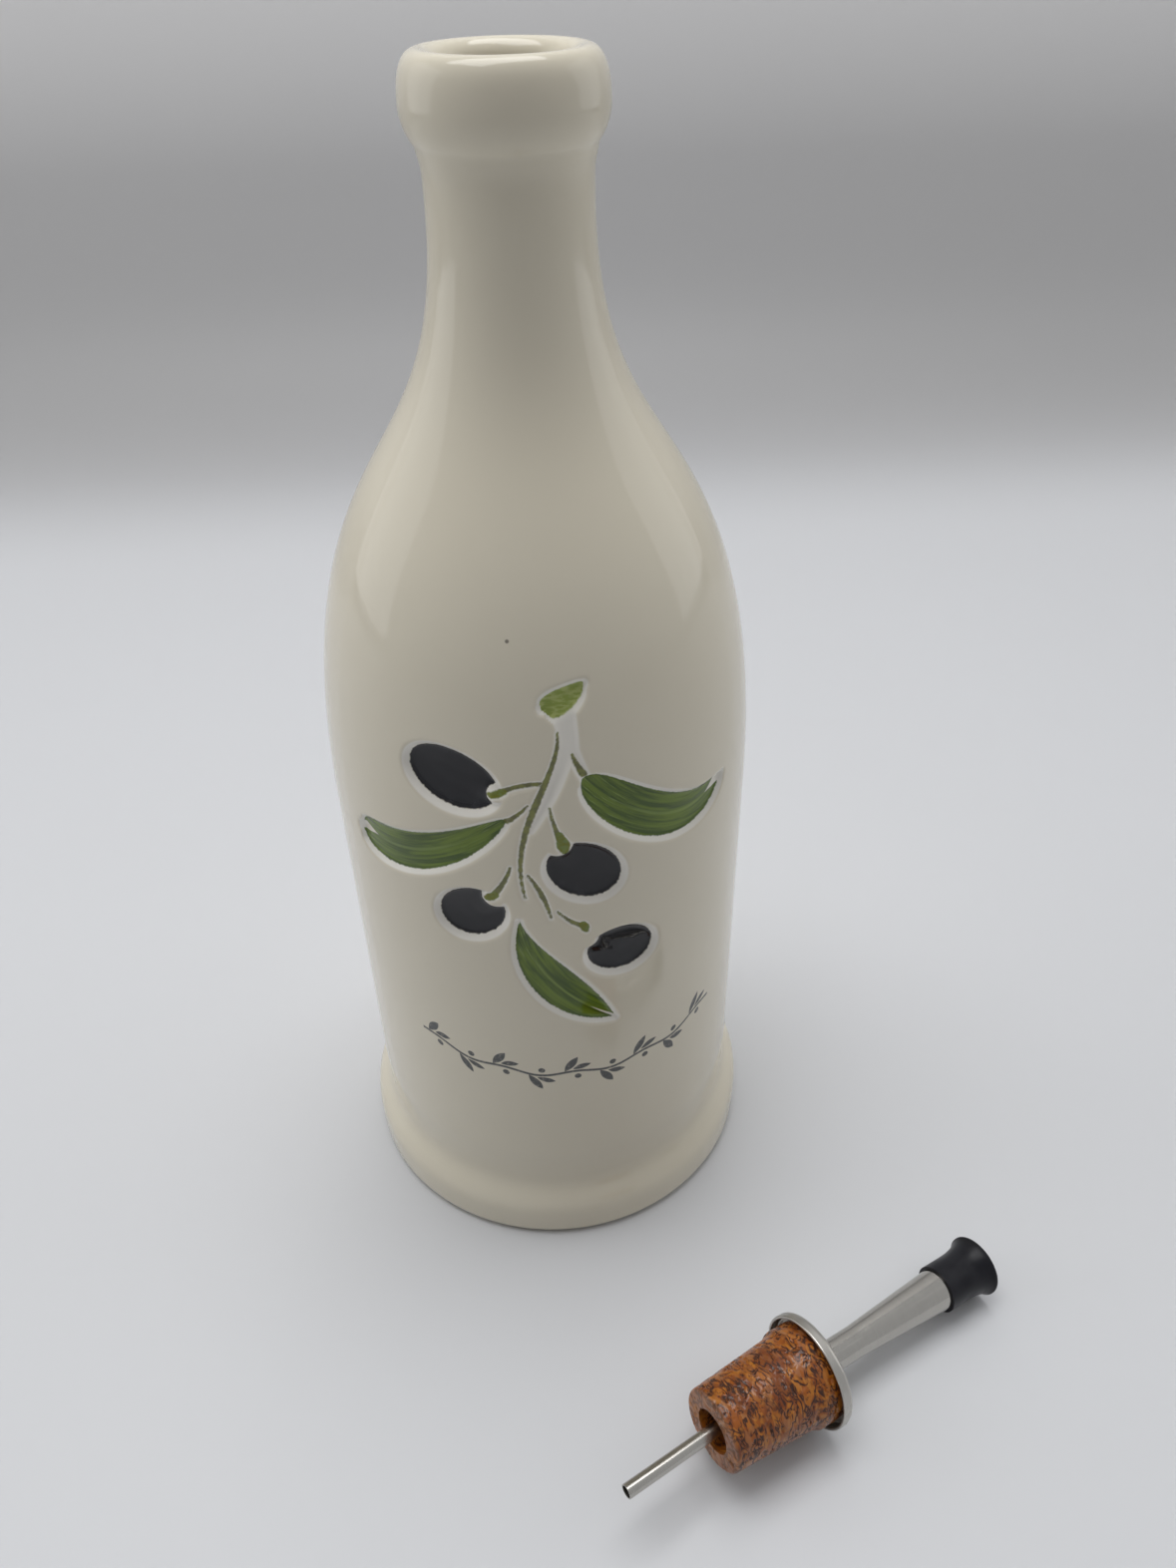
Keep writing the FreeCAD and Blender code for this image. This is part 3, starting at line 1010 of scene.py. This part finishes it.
@dataclass(frozen=True)
class PressedCork:
    """Lacquered pressed cork: bent granules with dark seams under a clear coat."""

    effects: Effects
    amber: Colour = (0.31, 0.085, 0.008)
    ochre: Colour = (0.42, 0.150, 0.018)
    rust: Colour = (0.145, 0.030, 0.006)
    tan: Colour = (0.32, 0.140, 0.060)
    seam: Colour = (0.030, 0.010, 0.005)
    granules: float = 560.0
    patches: float = 190.0
    veins: float = 330.0
    breaks: float = 240.0
    rough: Point = (0.38, 0.60)

    def material(self, place: "PourerPlace") -> bpy.types.Material:
        """Builds the cork.

        Args:
            place: Where the pourer lies.

        Returns:
            The material.
        """
        name = "lacquered_pressed_cork"
        graph = new_material(name)
        local = place.own_frame(graph)
        grain = graph.stretched(local, GRAIN_STRETCH)
        cells = graph.add("TexVoronoi", {"Vector": grain, "Scale": self.granules,
                                         "Randomness": 1.0})
        tone = graph.add("SeparateColor", {0: cells.outputs["Color"]}).outputs
        patches = graph.noise(grain, self.patches, detail=3.0, distortion=0.6)
        colour = graph.blend(graph.ramp(tone[0], 0.2, 0.8), self.amber, self.ochre)
        colour = graph.blend(graph.math("MULTIPLY", graph.ramp(patches, 0.48, 0.62), 0.75), colour,
                             self.rust)
        colour = graph.blend(graph.math("MULTIPLY", graph.ramp(tone[1], 0.70, 0.95), 0.5), colour,
                             self.tan)
        veins = graph.noise(grain, self.veins, distortion=1.2)
        off_vein = graph.math("ABSOLUTE", graph.math("SUBTRACT", veins, 0.5))
        breaks = graph.ramp(graph.noise(grain, self.breaks), 0.36, 0.50)
        vein = graph.math("MULTIPLY", graph.ramp(off_vein, 0.018, 0.062, 1.0, 0.0), breaks)
        pit = graph.attribute("pit")
        dark = graph.math("MAXIMUM", vein, graph.ramp(pit, 0.25, 0.9))
        halo = graph.math("MULTIPLY", graph.ramp(off_vein, 0.03, 0.13, 0.7, 0.0), breaks)
        colour = graph.blend(halo, colour, self.rust)
        colour = graph.blend(graph.math("MULTIPLY", dark, 0.9), colour, self.seam)
        parts = graph.add("SeparateXYZ", {0: local})
        end_face = graph.ramp(parts.outputs["Z"], -0.0284, -0.0290)
        colour = graph.blend(graph.math("MULTIPLY", end_face, 0.45), colour, self.tan)
        mottle = graph.group(self.effects.mottle, {"Vector": local, "Scale": 220.0,
                                                   "Contrast": 4.0})
        height = graph.math("SUBTRACT", mottle.outputs[0], dark)
        normal = bump(graph, height, 0.00012, 0.8)
        rough = graph.ramp(dark, 0.0, 1.0, *self.rough)
        return close_material(graph, name, {
            "Base Color": colour, "Roughness": rough, "Normal": normal,
            "Coat Weight": 0.5, "Coat Roughness": 0.08, "Specular IOR Level": 0.2,
        })


class Grade(Enum):
    """How the steel of a piece was finished: base roughness and ring depth in metres."""

    SATIN = (0.15, 0.4e-6)
    DRAWN = (0.20, 1.0e-6)
    PRESSED = (0.27, 1.5e-6)


@dataclass(frozen=True)
class Steel:
    """Stainless steel with the fine rings of a polishing wheel."""

    effects: Effects
    pale: Colour = (0.54, 0.52, 0.48)
    dull: Colour = (0.33, 0.315, 0.29)
    ring_share: float = 0.30
    smudge_share: float = 0.10

    def material(self, name: str, grade: Grade, place: "PourerPlace") -> bpy.types.Material:
        """Builds one grade of the steel.

        Args:
            name: The material's name.
            grade: The finish.
            place: Where the pourer lies.

        Returns:
            The material.
        """
        roughness, depth = grade.value
        graph = new_material(name)
        local = place.own_frame(graph)
        rings = graph.group(self.effects.turning, {"Vector": local})
        smudge = graph.group(self.effects.mottle, {"Vector": local, "Scale": 160.0})
        tone = graph.math("MULTIPLY_ADD", rings.outputs["Value"], self.ring_share,
                          graph.math("MULTIPLY", smudge.outputs[0], self.smudge_share), clamp=True)
        colour = graph.blend(tone, self.pale, self.dull)
        rough = graph.math("MULTIPLY_ADD", rings.outputs["Scratch"], 0.03, roughness)
        rough = graph.math("MULTIPLY_ADD", smudge.outputs[0], 0.04, rough)
        normal = bump(graph, rings.outputs["Value"], depth, 0.4)
        return close_material(graph, name, {
            "Base Color": colour, "Metallic": 1.0, "Roughness": rough, "Normal": normal,
        })


@dataclass(frozen=True)
class BlackRubber:
    """Satin black moulded rubber with a faint skin and duller patches."""

    effects: Effects
    black: Colour = (0.003, 0.003, 0.006)
    worn: Colour = (0.011, 0.011, 0.015)
    skin: float = 5200.0
    rough: Point = (0.32, 0.44)

    def material(self, place: "PourerPlace") -> bpy.types.Material:
        """Builds the rubber.

        Args:
            place: Where the pourer lies.

        Returns:
            The material.
        """
        name = "satin_black_rubber"
        graph = new_material(name)
        local = place.own_frame(graph)
        skin = graph.noise(local, self.skin)
        mottle = graph.group(self.effects.mottle, {"Vector": local, "Scale": 240.0,
                                                   "Contrast": 3.5})
        rings = graph.group(self.effects.turning, {"Vector": local, "Wander": 25.0})
        colour = graph.blend(graph.math("MULTIPLY", mottle.outputs[0], 0.6), self.black, self.worn)
        rough = graph.ramp(mottle.outputs[0], 0.0, 1.0, *self.rough)
        height = graph.math("MULTIPLY_ADD", rings.outputs["Scratch"], 0.4,
                            graph.math("MULTIPLY", skin, 0.6))
        return close_material(graph, name, {
            "Base Color": colour, "Roughness": rough, "Normal": bump(graph, height, 0.00002, 0.5),
            "IOR": 1.36,
        })


# ---------------------------------------------------------------- the bottle


@dataclass(frozen=True)
class BottleShape:
    """The bottle's outline, the same as the CAD solid's."""

    height: float = 290.0
    body_top: float = 131.0
    neck_r: float = 16.6
    neck_span: float = 25.0
    low_pull: float = 0.70
    high_pull: float = 0.43
    foot_flare: float = 4.2
    foot_band: float = 9.0
    foot_round: float = 3.0
    waist_dip: float = 0.6
    waist_height: float = 21.0
    waist_blend: float = 16.0
    lip_r: float = 19.9
    lip_crown: float = 9.0
    lip_roll: float = 6.5
    crease_r: float = 17.6
    collar_drop: float = 6.0
    mouth_round: float = 3.6
    mouth_r: float = 12.0
    wall: float = 5.0
    floor: float = 6.0
    floor_round: float = 8.0
    base_ring: float = 30.0
    shoulder_inset: float = 2.0
    fine_gap: float = 0.5
    fine_start: float = 80.0
    fine_end: float = 189.0

    @property
    def shoulder_top(self) -> float:
        """The height at which the shoulder becomes the neck."""
        return self.height - self.neck_span

    def shoulder(self, inner: bool = False) -> np.ndarray:
        """Draws the shoulder's line.

        Args:
            inner: The inside's line if true, else the outside's.

        Returns:
            Dense points up the shoulder.
        """
        drop = self.shoulder_inset if inner else 0.0
        low_r = BODY_R - self.wall if inner else BODY_R
        high_r = self.mouth_r if inner else self.neck_r
        low, high = self.body_top - drop, self.shoulder_top - drop
        span = self.shoulder_top - self.body_top
        return bezier(((low_r, low), (low_r, low + self.low_pull * span),
                       (high_r, high - self.high_pull * span), (high_r, high)), 800)

    def wall_at(self, heights: np.ndarray) -> np.ndarray:
        """Finds the outer wall's radius.

        Args:
            heights: Heights above the waist.

        Returns:
            The radius at each height.
        """
        curve = self.shoulder()
        lip = self.height - self.lip_crown
        z = np.concatenate(([self.waist_height, self.body_top], curve[1:, 1],
                            [lip - self.lip_roll, lip, self.height]))
        r = np.concatenate(([BODY_R, BODY_R], curve[1:, 0],
                            [self.crease_r, self.lip_r, self.mouth_r]))
        return np.interp(heights, z, r)

    def blend(self, start: Point, end: Point, count: int) -> np.ndarray:
        """Draws a soft S between two upright ends.

        Args:
            start: The lower end.
            end: The upper end.
            count: How many points, the ends among them.

        Returns:
            The points.
        """
        half = (end[1] - start[1]) / 2.0
        return bezier((start, (start[0], start[1] + half), (end[0], end[1] - half), end), count)

    def outline(self) -> list[Point]:
        """Draws the closed outline.

        Returns:
            Points from the base's centre over the lip and down to the inner floor's centre.
        """
        foot_r, waist_r = BODY_R + self.foot_flare, BODY_R - self.waist_dip
        waist = (waist_r, self.waist_height)
        body_start = (BODY_R, self.waist_height + self.waist_blend)
        lip_z = self.height - self.lip_crown
        crease = (self.crease_r, lip_z - self.lip_roll)
        neck_end = (self.neck_r, crease[1] - self.collar_drop)
        crown = (self.mouth_r + self.mouth_round, self.height)
        roll = self.lip_r - self.crease_r
        shoulder = self.shoulder()
        split = int(np.searchsorted(shoulder[:, 1], self.fine_end))
        inner_r = BODY_R - self.wall
        return joined([
            np.array([(0.0, 0.0), (self.base_ring, 0.0), (foot_r - self.foot_round, 0.0)]),
            arc((foot_r - self.foot_round, self.foot_round), self.foot_round, -90.0, 0.0, 7),
            np.array([(foot_r, self.foot_round), (foot_r, self.foot_band)]),
            self.blend((foot_r, self.foot_band), waist, 9),
            self.blend(waist, body_start, 7),
            spaced(np.array([body_start, (BODY_R, self.fine_start)]), 6.0),
            spaced(np.array([(BODY_R, self.fine_start), (BODY_R, self.body_top)]), self.fine_gap),
            spaced(shoulder[:split], self.fine_gap),
            spaced(shoulder[split - 1:], 3.2),
            np.array([(self.neck_r, self.shoulder_top), neck_end]),
            bezier((neck_end, (self.neck_r, neck_end[1] + self.collar_drop / 2.0),
                    (self.crease_r - 0.4, crease[1] - self.collar_drop / 3.0), crease), 6),
            bezier((crease, (self.crease_r + 0.45 * roll, crease[1] + 0.2 * self.lip_roll),
                    (self.lip_r, lip_z - 0.43 * self.lip_roll), (self.lip_r, lip_z)), 8),
            bezier(((self.lip_r, lip_z), (self.lip_r, lip_z + 0.58 * self.lip_crown),
                    (self.lip_r - 0.3 * (self.lip_r - crown[0]), self.height), crown), 16),
            arc((crown[0], self.height - self.mouth_round), self.mouth_round, 90.0, 180.0, 9),
            np.array([(self.mouth_r, self.height - self.mouth_round),
                      (self.mouth_r, self.shoulder_top - self.shoulder_inset)]),
            spaced(self.shoulder(inner=True)[::-1], 14.0),
            np.array([(inner_r, self.body_top - self.shoulder_inset),
                      (inner_r, self.floor + self.floor_round)]),
            arc((inner_r - self.floor_round, self.floor + self.floor_round), self.floor_round,
                0.0, -90.0, 5),
            np.array([(inner_r - self.floor_round, self.floor), (0.0, self.floor)]),
        ])


@dataclass(frozen=True)
class Bottle:
    """The glazed bottle with its sprig."""

    glaze: Glaze
    shape: BottleShape = BottleShape()
    sprig: Sprig = Sprig()
    front_half: float = 62.0
    front_steps: int = 228
    back_steps: int = 44

    def build(self) -> bpy.types.Object:
        """Makes the bottle, in place of its CAD node.

        Returns:
            The finished piece.
        """
        sectors = [(2.0 * self.front_half, self.front_steps),
                   (360.0 - 2.0 * self.front_half, self.back_steps)]
        shell = turned(self.shape.outline(), sectors, -self.front_half)
        piece = make_object(shell, "bottle_glazed")
        self.sprig.press_into(piece.data, self.shape)
        piece.data.materials.append(self.glaze.material(self.shape))
        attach(piece, "root")
        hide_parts("bottle")
        return piece


# ---------------------------------------------------------------- the pourer


@dataclass(frozen=True)
class PourerPlace:
    """Where the pourer lies: on the collar's edge and the cap's lip, its axis sloping slightly."""

    collar_r: float = 14.4
    collar_depth: float = 3.2
    collar_edge: float = 1.4
    cap_end: float = 61.6
    cap_lip_r: float = 8.05
    cap_edge: float = 0.25
    foot_r: float = 57.2
    standoff: float = 66.3
    bearing: float = -62.1
    heading: float = 28.1

    def matrix(self) -> Matrix:
        """Works out where the pourer lies.

        Returns:
            The move from the pourer's own upright frame to its place, in metres.
        """
        collar = (self.collar_depth - self.collar_edge, self.collar_r - self.collar_edge)
        lip = (self.cap_end - self.cap_edge, self.cap_lip_r - self.cap_edge)
        run, drop = lip[0] - collar[0], collar[1] - lip[1]
        rounding = self.collar_edge - self.cap_edge
        slope = math.atan2(drop, run) + math.asin(rounding / math.hypot(run, drop))
        height = collar[0] * math.sin(slope) + collar[1] * math.cos(slope) + self.collar_edge
        reach, bearing = self.foot_r + self.standoff, math.radians(self.bearing)
        spot = Vector((reach * math.cos(bearing), reach * math.sin(bearing), height)) * MM
        turn = Euler((0.0, math.pi / 2.0 + slope, math.radians(self.heading)))
        return Matrix.Translation(spot) @ turn.to_matrix().to_4x4()

    def own_frame(self, graph: Graph) -> Socket:
        """Turns Object coordinates into the pourer's own frame, with Z along its axis.

        Args:
            graph: A material's graph.

        Returns:
            The turned coordinates.
        """
        place = self.matrix()
        coordinates = graph.add("TexCoord").outputs["Object"]
        return graph.stretched(coordinates, (1.0, 1.0, 1.0), tuple(place.translation),
                               tuple(place.to_euler()), kind="TEXTURE")


@dataclass(frozen=True)
class Cork:
    """The tapered cork, its granules standing a little apart."""

    finish: PressedCork
    length: float = 29.2
    end_r: float = 10.15
    shoulder_r: float = 11.5
    head_r: float = 12.4
    head_height: float = 4.0
    head_step: float = 1.2
    seat: float = 2.4
    edge: float = 0.8
    bore_r: float = 3.95
    well_r: float = 5.4
    well_depth: float = 10.0
    steps: int = 220
    gap: float = 0.33
    pit_depth: float = 0.22
    chip_depth: float = 0.35
    grit_depth: float = 0.05
    vein_half: float = 0.13
    well_margin: float = 0.5

    def outline(self) -> list[Point]:
        """Draws the closed outline, with its outer edges rounded.

        Returns:
            Points from the well's rim around the outside and back through the bore.
        """
        bottom = -self.length
        corners = np.array([
            (self.well_r, bottom), (self.end_r - self.edge, bottom),
            (self.end_r, bottom + self.edge),
            (self.shoulder_r, -self.head_height - self.head_step - 0.4),
            (self.shoulder_r + 0.15, -self.head_height - self.head_step),
            (self.head_r - 0.15, -self.head_height), (self.head_r, -self.head_height + 0.4),
            (self.head_r, self.seat - self.edge), (self.head_r - self.edge, self.seat)])
        round_end = arc((self.end_r - self.edge, bottom + self.edge), self.edge, -90.0, -4.0, 5)
        return joined([
            spaced(corners[0:2], self.gap), round_end, spaced(np.array([round_end[-1], corners[3]]),
                                                              self.gap),
            corners[3:6], spaced(corners[6:8], self.gap), corners[7:9],
            np.array([(self.bore_r, self.seat), (self.bore_r, bottom + self.well_depth),
                      (self.well_r, bottom + self.well_depth)]),
            spaced(np.array([(self.well_r, bottom + self.well_depth), (self.well_r, bottom)]), 0.8),
        ])

    def wear(self, spot: Vector) -> tuple[float, float]:
        """Tells how worn the skin is at one place.

        Args:
            spot: The place, stretched along the grain, in millimetres.

        Returns:
            The share of a dark pit there, 0 to 1, and how deep the skin is sunk, in millimetres.
        """
        bend = noise.noise_vector(spot * 0.5) * 0.8
        vein = np.array(abs(noise.noise(spot * 0.75 + bend)))
        gaps = np.array(noise.noise(spot * 0.45 + Vector((9.0, 3.0, 5.0))))
        chips = np.array(noise.noise(spot * 0.55 + Vector((2.0, 8.0, 1.0))))
        pit = float((1.0 - eased(vein, 0.0, self.vein_half)) * eased(gaps, -0.15, 0.2))
        chip = float(eased(chips, 0.28, 0.55))
        grit = self.grit_depth * (1.0 + noise.noise(spot * 1.6))
        return pit, self.pit_depth * pit + self.chip_depth * chip + grit

    def build(self, place: PourerPlace) -> bpy.types.Object:
        """Makes the cork, in place of its CAD node.

        Args:
            place: Where the pourer lies.

        Returns:
            The finished piece.
        """
        outline = self.outline()
        mesh = turned(outline + outline[:1], [(360.0, self.steps)])
        mesh.normal_update()
        mesh.verts.index_update()
        pits = np.zeros(len(mesh.verts))
        shifts = {}
        for vert in mesh.verts:
            radius = math.hypot(vert.co.x, vert.co.y) / MM
            if radius < self.well_r - self.well_margin or vert.co.z > (self.seat - self.edge) * MM:
                continue
            spot = Vector([way * stretch for way, stretch in zip(vert.co, GRAIN_STRETCH)]) / MM
            pits[vert.index], depth = self.wear(spot)
            shifts[vert] = vert.normal * -(depth * MM)
        for vert, shift in shifts.items():
            vert.co += shift
        bmesh.ops.transform(mesh, matrix=place.matrix(), verts=mesh.verts[:])
        piece = make_object(mesh, "pourer_cork_grained")
        store(piece.data, "pit", pits)
        piece.data.materials.append(self.finish.material(place))
        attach(piece, "root")
        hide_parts("pourer_cork")
        return piece


@dataclass(frozen=True)
class Spout:
    """The slender steel spout: shank in the cork, straight throat, flare and capped end."""

    outer_r: float = 3.9
    mouth_r: float = 5.5
    wall: float = 0.5
    shank: float = 16.0
    throat: float = 17.0
    flare_end: float = 46.6
    length: float = 57.6
    bend: float = 20.0
    steps: int = 120

    def build(self, place: PourerPlace, finish: bpy.types.Material) -> bpy.types.Object:
        """Makes the spout, in place of its CAD node.

        Args:
            place: Where the pourer lies.
            finish: The steel.

        Returns:
            The finished piece.
        """
        inner_r, inner_mouth_r = self.outer_r - self.wall, self.mouth_r - self.wall
        outline = rounded([
            (inner_r, -self.shank, 0.0), (self.outer_r, -self.shank, 0.0),
            (self.outer_r, self.throat, self.bend), (self.mouth_r, self.flare_end, self.bend),
            (self.mouth_r, self.length, 0.0), (inner_mouth_r, self.length, 0.0),
            (inner_mouth_r, self.flare_end, self.bend), (inner_r, self.throat, self.bend),
            (inner_r, -self.shank, 0.0)])
        mesh = turned([tuple(point) for point in outline], [(360.0, self.steps)])
        bmesh.ops.transform(mesh, matrix=place.matrix(), verts=mesh.verts[:])
        piece = make_object(mesh, "pourer_spout_turned")
        piece.data.materials.append(finish)
        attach(piece, "root")
        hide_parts("pourer_spout")
        return piece


@dataclass(frozen=True)
class Pourer:
    """The cork pourer: its own cork and spout, and the CAD nodes that are dressed in place."""

    cork: Cork
    spout: Spout
    steel: Steel
    rubber: BlackRubber
    place: PourerPlace = PourerPlace()

    def dress(self, nodes: dict[str, bpy.types.Object]) -> None:
        """Gives the steel and rubber nodes their finishes.

        Args:
            nodes: The CAD nodes by name.
        """
        finishes = {
            "pourer_collar": self.steel.material("pressed_steel_collar", Grade.PRESSED, self.place),
            "pourer_air_tube": self.steel.material("drawn_steel_tube", Grade.DRAWN, self.place),
            "pourer_cap": self.rubber.material(self.place),
        }
        for name, finish in finishes.items():
            node = nodes[name]
            if not node.material_slots:
                node.data.materials.append(finish)
            for slot in node.material_slots:
                slot.material = finish
            LOG.info("dressed %s with %s", name, finish.name)

    def build(self, nodes: dict[str, bpy.types.Object]) -> list[bpy.types.Object]:
        """Makes the cork and the spout and dresses the rest.

        Args:
            nodes: The CAD nodes by name.

        Returns:
            The new pieces.
        """
        self.dress(nodes)
        satin = self.steel.material("satin_steel_spout", Grade.SATIN, self.place)
        return [self.cork.build(self.place), self.spout.build(self.place, satin)]


# ---------------------------------------------------------------- stage, light and camera


@dataclass(frozen=True)
class Lamp:
    """A soft rectangular lamp: its place, aim and size in metres, and its power in watts."""

    name: str
    spot: Triple
    aim: Triple
    size: Point
    power: float

    def hang(self) -> None:
        """Hangs the lamp in the scene."""
        lamp = bpy.data.lights.new(self.name, "AREA")
        lamp.shape = "RECTANGLE"
        lamp.size, lamp.size_y = self.size
        lamp.energy = self.power
        holder = bpy.data.objects.new(self.name, lamp)
        holder.location = self.spot
        way = Vector(self.aim) - Vector(self.spot)
        holder.rotation_euler = way.to_track_quat("-Z", "Y").to_euler()
        bpy.context.scene.collection.objects.link(holder)


@dataclass(frozen=True)
class Studio:
    """A pale table that sweeps up into a grey backdrop, soft light and the camera, in metres."""

    effects: Effects
    half_width: float = 1.6
    near: float = -1.3
    sweep_start: float = 0.50
    sweep_radius: float = 0.16
    sweep_steps: int = 16
    wall_top: float = 1.1
    table: Colour = (0.66, 0.67, 0.69)
    backdrop: Colour = (0.41, 0.41, 0.415)
    # Colour at the backdrop's top: painted light, brighter upwards for the light falling on the
    # wall.
    backdrop_top_painted_light: Colour = (0.82, 0.82, 0.825)
    mottle_grey: Colour = (0.5, 0.5, 0.5)
    fade: Point = (0.38, 0.60)
    rise: Point = (0.06, 0.30)
    lamps: tuple[Lamp, ...] = (
        Lamp("lamp_above", (-0.1, 0.15, 1.35), (0.0, 0.0, 0.0), (1.1, 0.7), 9.5),
        Lamp("lamp_left", (-1.1, 0.25, 0.55), (0.0, 0.0, 0.12), (0.9, 1.0), 2.2),
        Lamp("lamp_right", (1.1, 0.30, 0.55), (0.0, 0.0, 0.12), (0.9, 1.0), 1.8),
    )
    room: Colour = (0.74, 0.75, 0.77)
    room_front: Colour = (0.15, 0.14, 0.13)
    background: Colour = (0.62, 0.63, 0.65)
    room_strength: float = 0.76
    camera_spot: Triple = (0.0, -0.24988, 0.31376)
    camera_pitch: float = 37.634
    camera_roll: float = -1.429
    camera_yaw: float = 2.806
    lens: float = 27.05
    sensor: float = 36.0
    clip: Point = (0.01, 20.0)

    def stage(self) -> bpy.types.Object:
        """Makes the table and its backdrop in one sheet.

        Returns:
            The sheet.
        """
        mesh = bmesh.new()
        line = [(self.near, 0.0), (self.sweep_start, 0.0)]
        for step in range(1, self.sweep_steps + 1):
            angle = math.pi / 2.0 * step / self.sweep_steps
            line.append((self.sweep_start + self.sweep_radius * math.sin(angle),
                         self.sweep_radius * (1.0 - math.cos(angle))))
        line.append((self.sweep_start + self.sweep_radius, self.wall_top))
        verts = [mesh.verts.new((-self.half_width, y, z)) for y, z in line]
        edges = [mesh.edges.new(pair) for pair in zip(verts, verts[1:])]
        swept = bmesh.ops.extrude_edge_only(mesh, edges=edges)["geom"]
        moved = [part for part in swept if isinstance(part, bmesh.types.BMVert)]
        bmesh.ops.translate(mesh, verts=moved, vec=(2.0 * self.half_width, 0.0, 0.0))
        bmesh.ops.recalc_face_normals(mesh, faces=mesh.faces[:])
        sheet = make_object(mesh, "table_and_backdrop")
        sheet.data.materials.append(self.paper())
        return sheet

    def paper(self) -> bpy.types.Material:
        """Builds the sheet's matt paint, greyer towards the back and, as painted light, brighter
        again up the backdrop.

        Returns:
            The material.
        """
        name = "pale_table_paint"
        graph = new_material(name)
        place = graph.add("TexCoord").outputs["Object"]
        parts = graph.add("SeparateXYZ", {0: place})
        back = graph.ramp(parts.outputs["Y"], *self.fade)
        # Painted light: the backdrop grows brighter upwards.
        upper = graph.ramp(parts.outputs["Z"], *self.rise)
        mottle = graph.group(self.effects.mottle, {"Vector": place, "Scale": 6.0, "Contrast": 1.5})
        grey = graph.blend(upper, self.backdrop, self.backdrop_top_painted_light)
        colour = graph.blend(back, self.table, grey)
        colour = graph.blend(graph.math("MULTIPLY", mottle.outputs[0], 0.05), colour,
                             self.mottle_grey)
        return close_material(graph, name, {"Base Color": colour, "Roughness": 0.55})

    def light(self) -> None:
        """Hangs the lamps and lights the room, dimmer in front than above and at the sides."""
        for lamp in self.lamps:
            lamp.hang()
        world = bpy.data.worlds.new("studio_room")
        bpy.context.scene.world = world
        world.use_nodes = True
        graph = Graph(world.node_tree)
        way = graph.add("TexCoord").outputs["Generated"]
        parts = graph.add("SeparateXYZ", {0: way})
        front = graph.ramp(parts.outputs["Y"], 0.15, -0.6)
        low = graph.math("MULTIPLY", front, graph.ramp(parts.outputs["Z"], 0.97, 0.65))
        room = graph.blend(low, self.room, self.room_front)
        path = graph.add("LightPath").outputs
        mirrored = graph.math("ADD", path["Is Glossy Ray"], path["Is Transmission Ray"])
        seen = graph.math("ADD", path["Is Camera Ray"], mirrored, clamp=True)
        colour = graph.blend(seen, room, self.background)
        shade = graph.add("Background", {"Color": colour, "Strength": self.room_strength})
        graph.add("OutputWorld", {"Surface": shade.outputs[0]})

    def camera(self) -> None:
        """Sets up the camera."""
        lens = bpy.data.cameras.new("studio_camera")
        lens.lens = self.lens
        lens.sensor_width = self.sensor
        lens.clip_start, lens.clip_end = self.clip
        holder = bpy.data.objects.new("studio_camera", lens)
        pitch = Matrix.Rotation(math.radians(90.0 - self.camera_pitch), 4, "X")
        yaw = Matrix.Rotation(math.radians(-self.camera_yaw), 4, "Z")
        roll = Matrix.Rotation(math.radians(self.camera_roll), 4, "Z")
        holder.matrix_world = Matrix.Translation(self.camera_spot) @ yaw @ pitch @ roll
        bpy.context.scene.collection.objects.link(holder)
        bpy.context.scene.camera = holder

    def build(self) -> None:
        """Makes the stage, the light and the camera."""
        self.stage()
        self.light()
        self.camera()
        bpy.context.scene.view_settings.view_transform = "Standard"


def report(piece: bpy.types.Object) -> None:
    """Logs a finished piece and its number of triangles."""
    piece.data.calc_loop_triangles()
    LOG.info("made %s, %d triangles", piece.name, len(piece.data.loop_triangles))


def main() -> None:
    logging.basicConfig(level=logging.INFO, format="%(name)s: %(message)s")
    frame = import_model()
    effects = Effects()
    Studio(effects).build()
    report(Bottle(Glaze(effects)).build())
    pourer = Pourer(Cork(PressedCork(effects)), Spout(), Steel(effects), BlackRubber(effects))
    for piece in pourer.build(frame["nodes"]):
        report(piece)


if __name__ == "__main__":
    main()
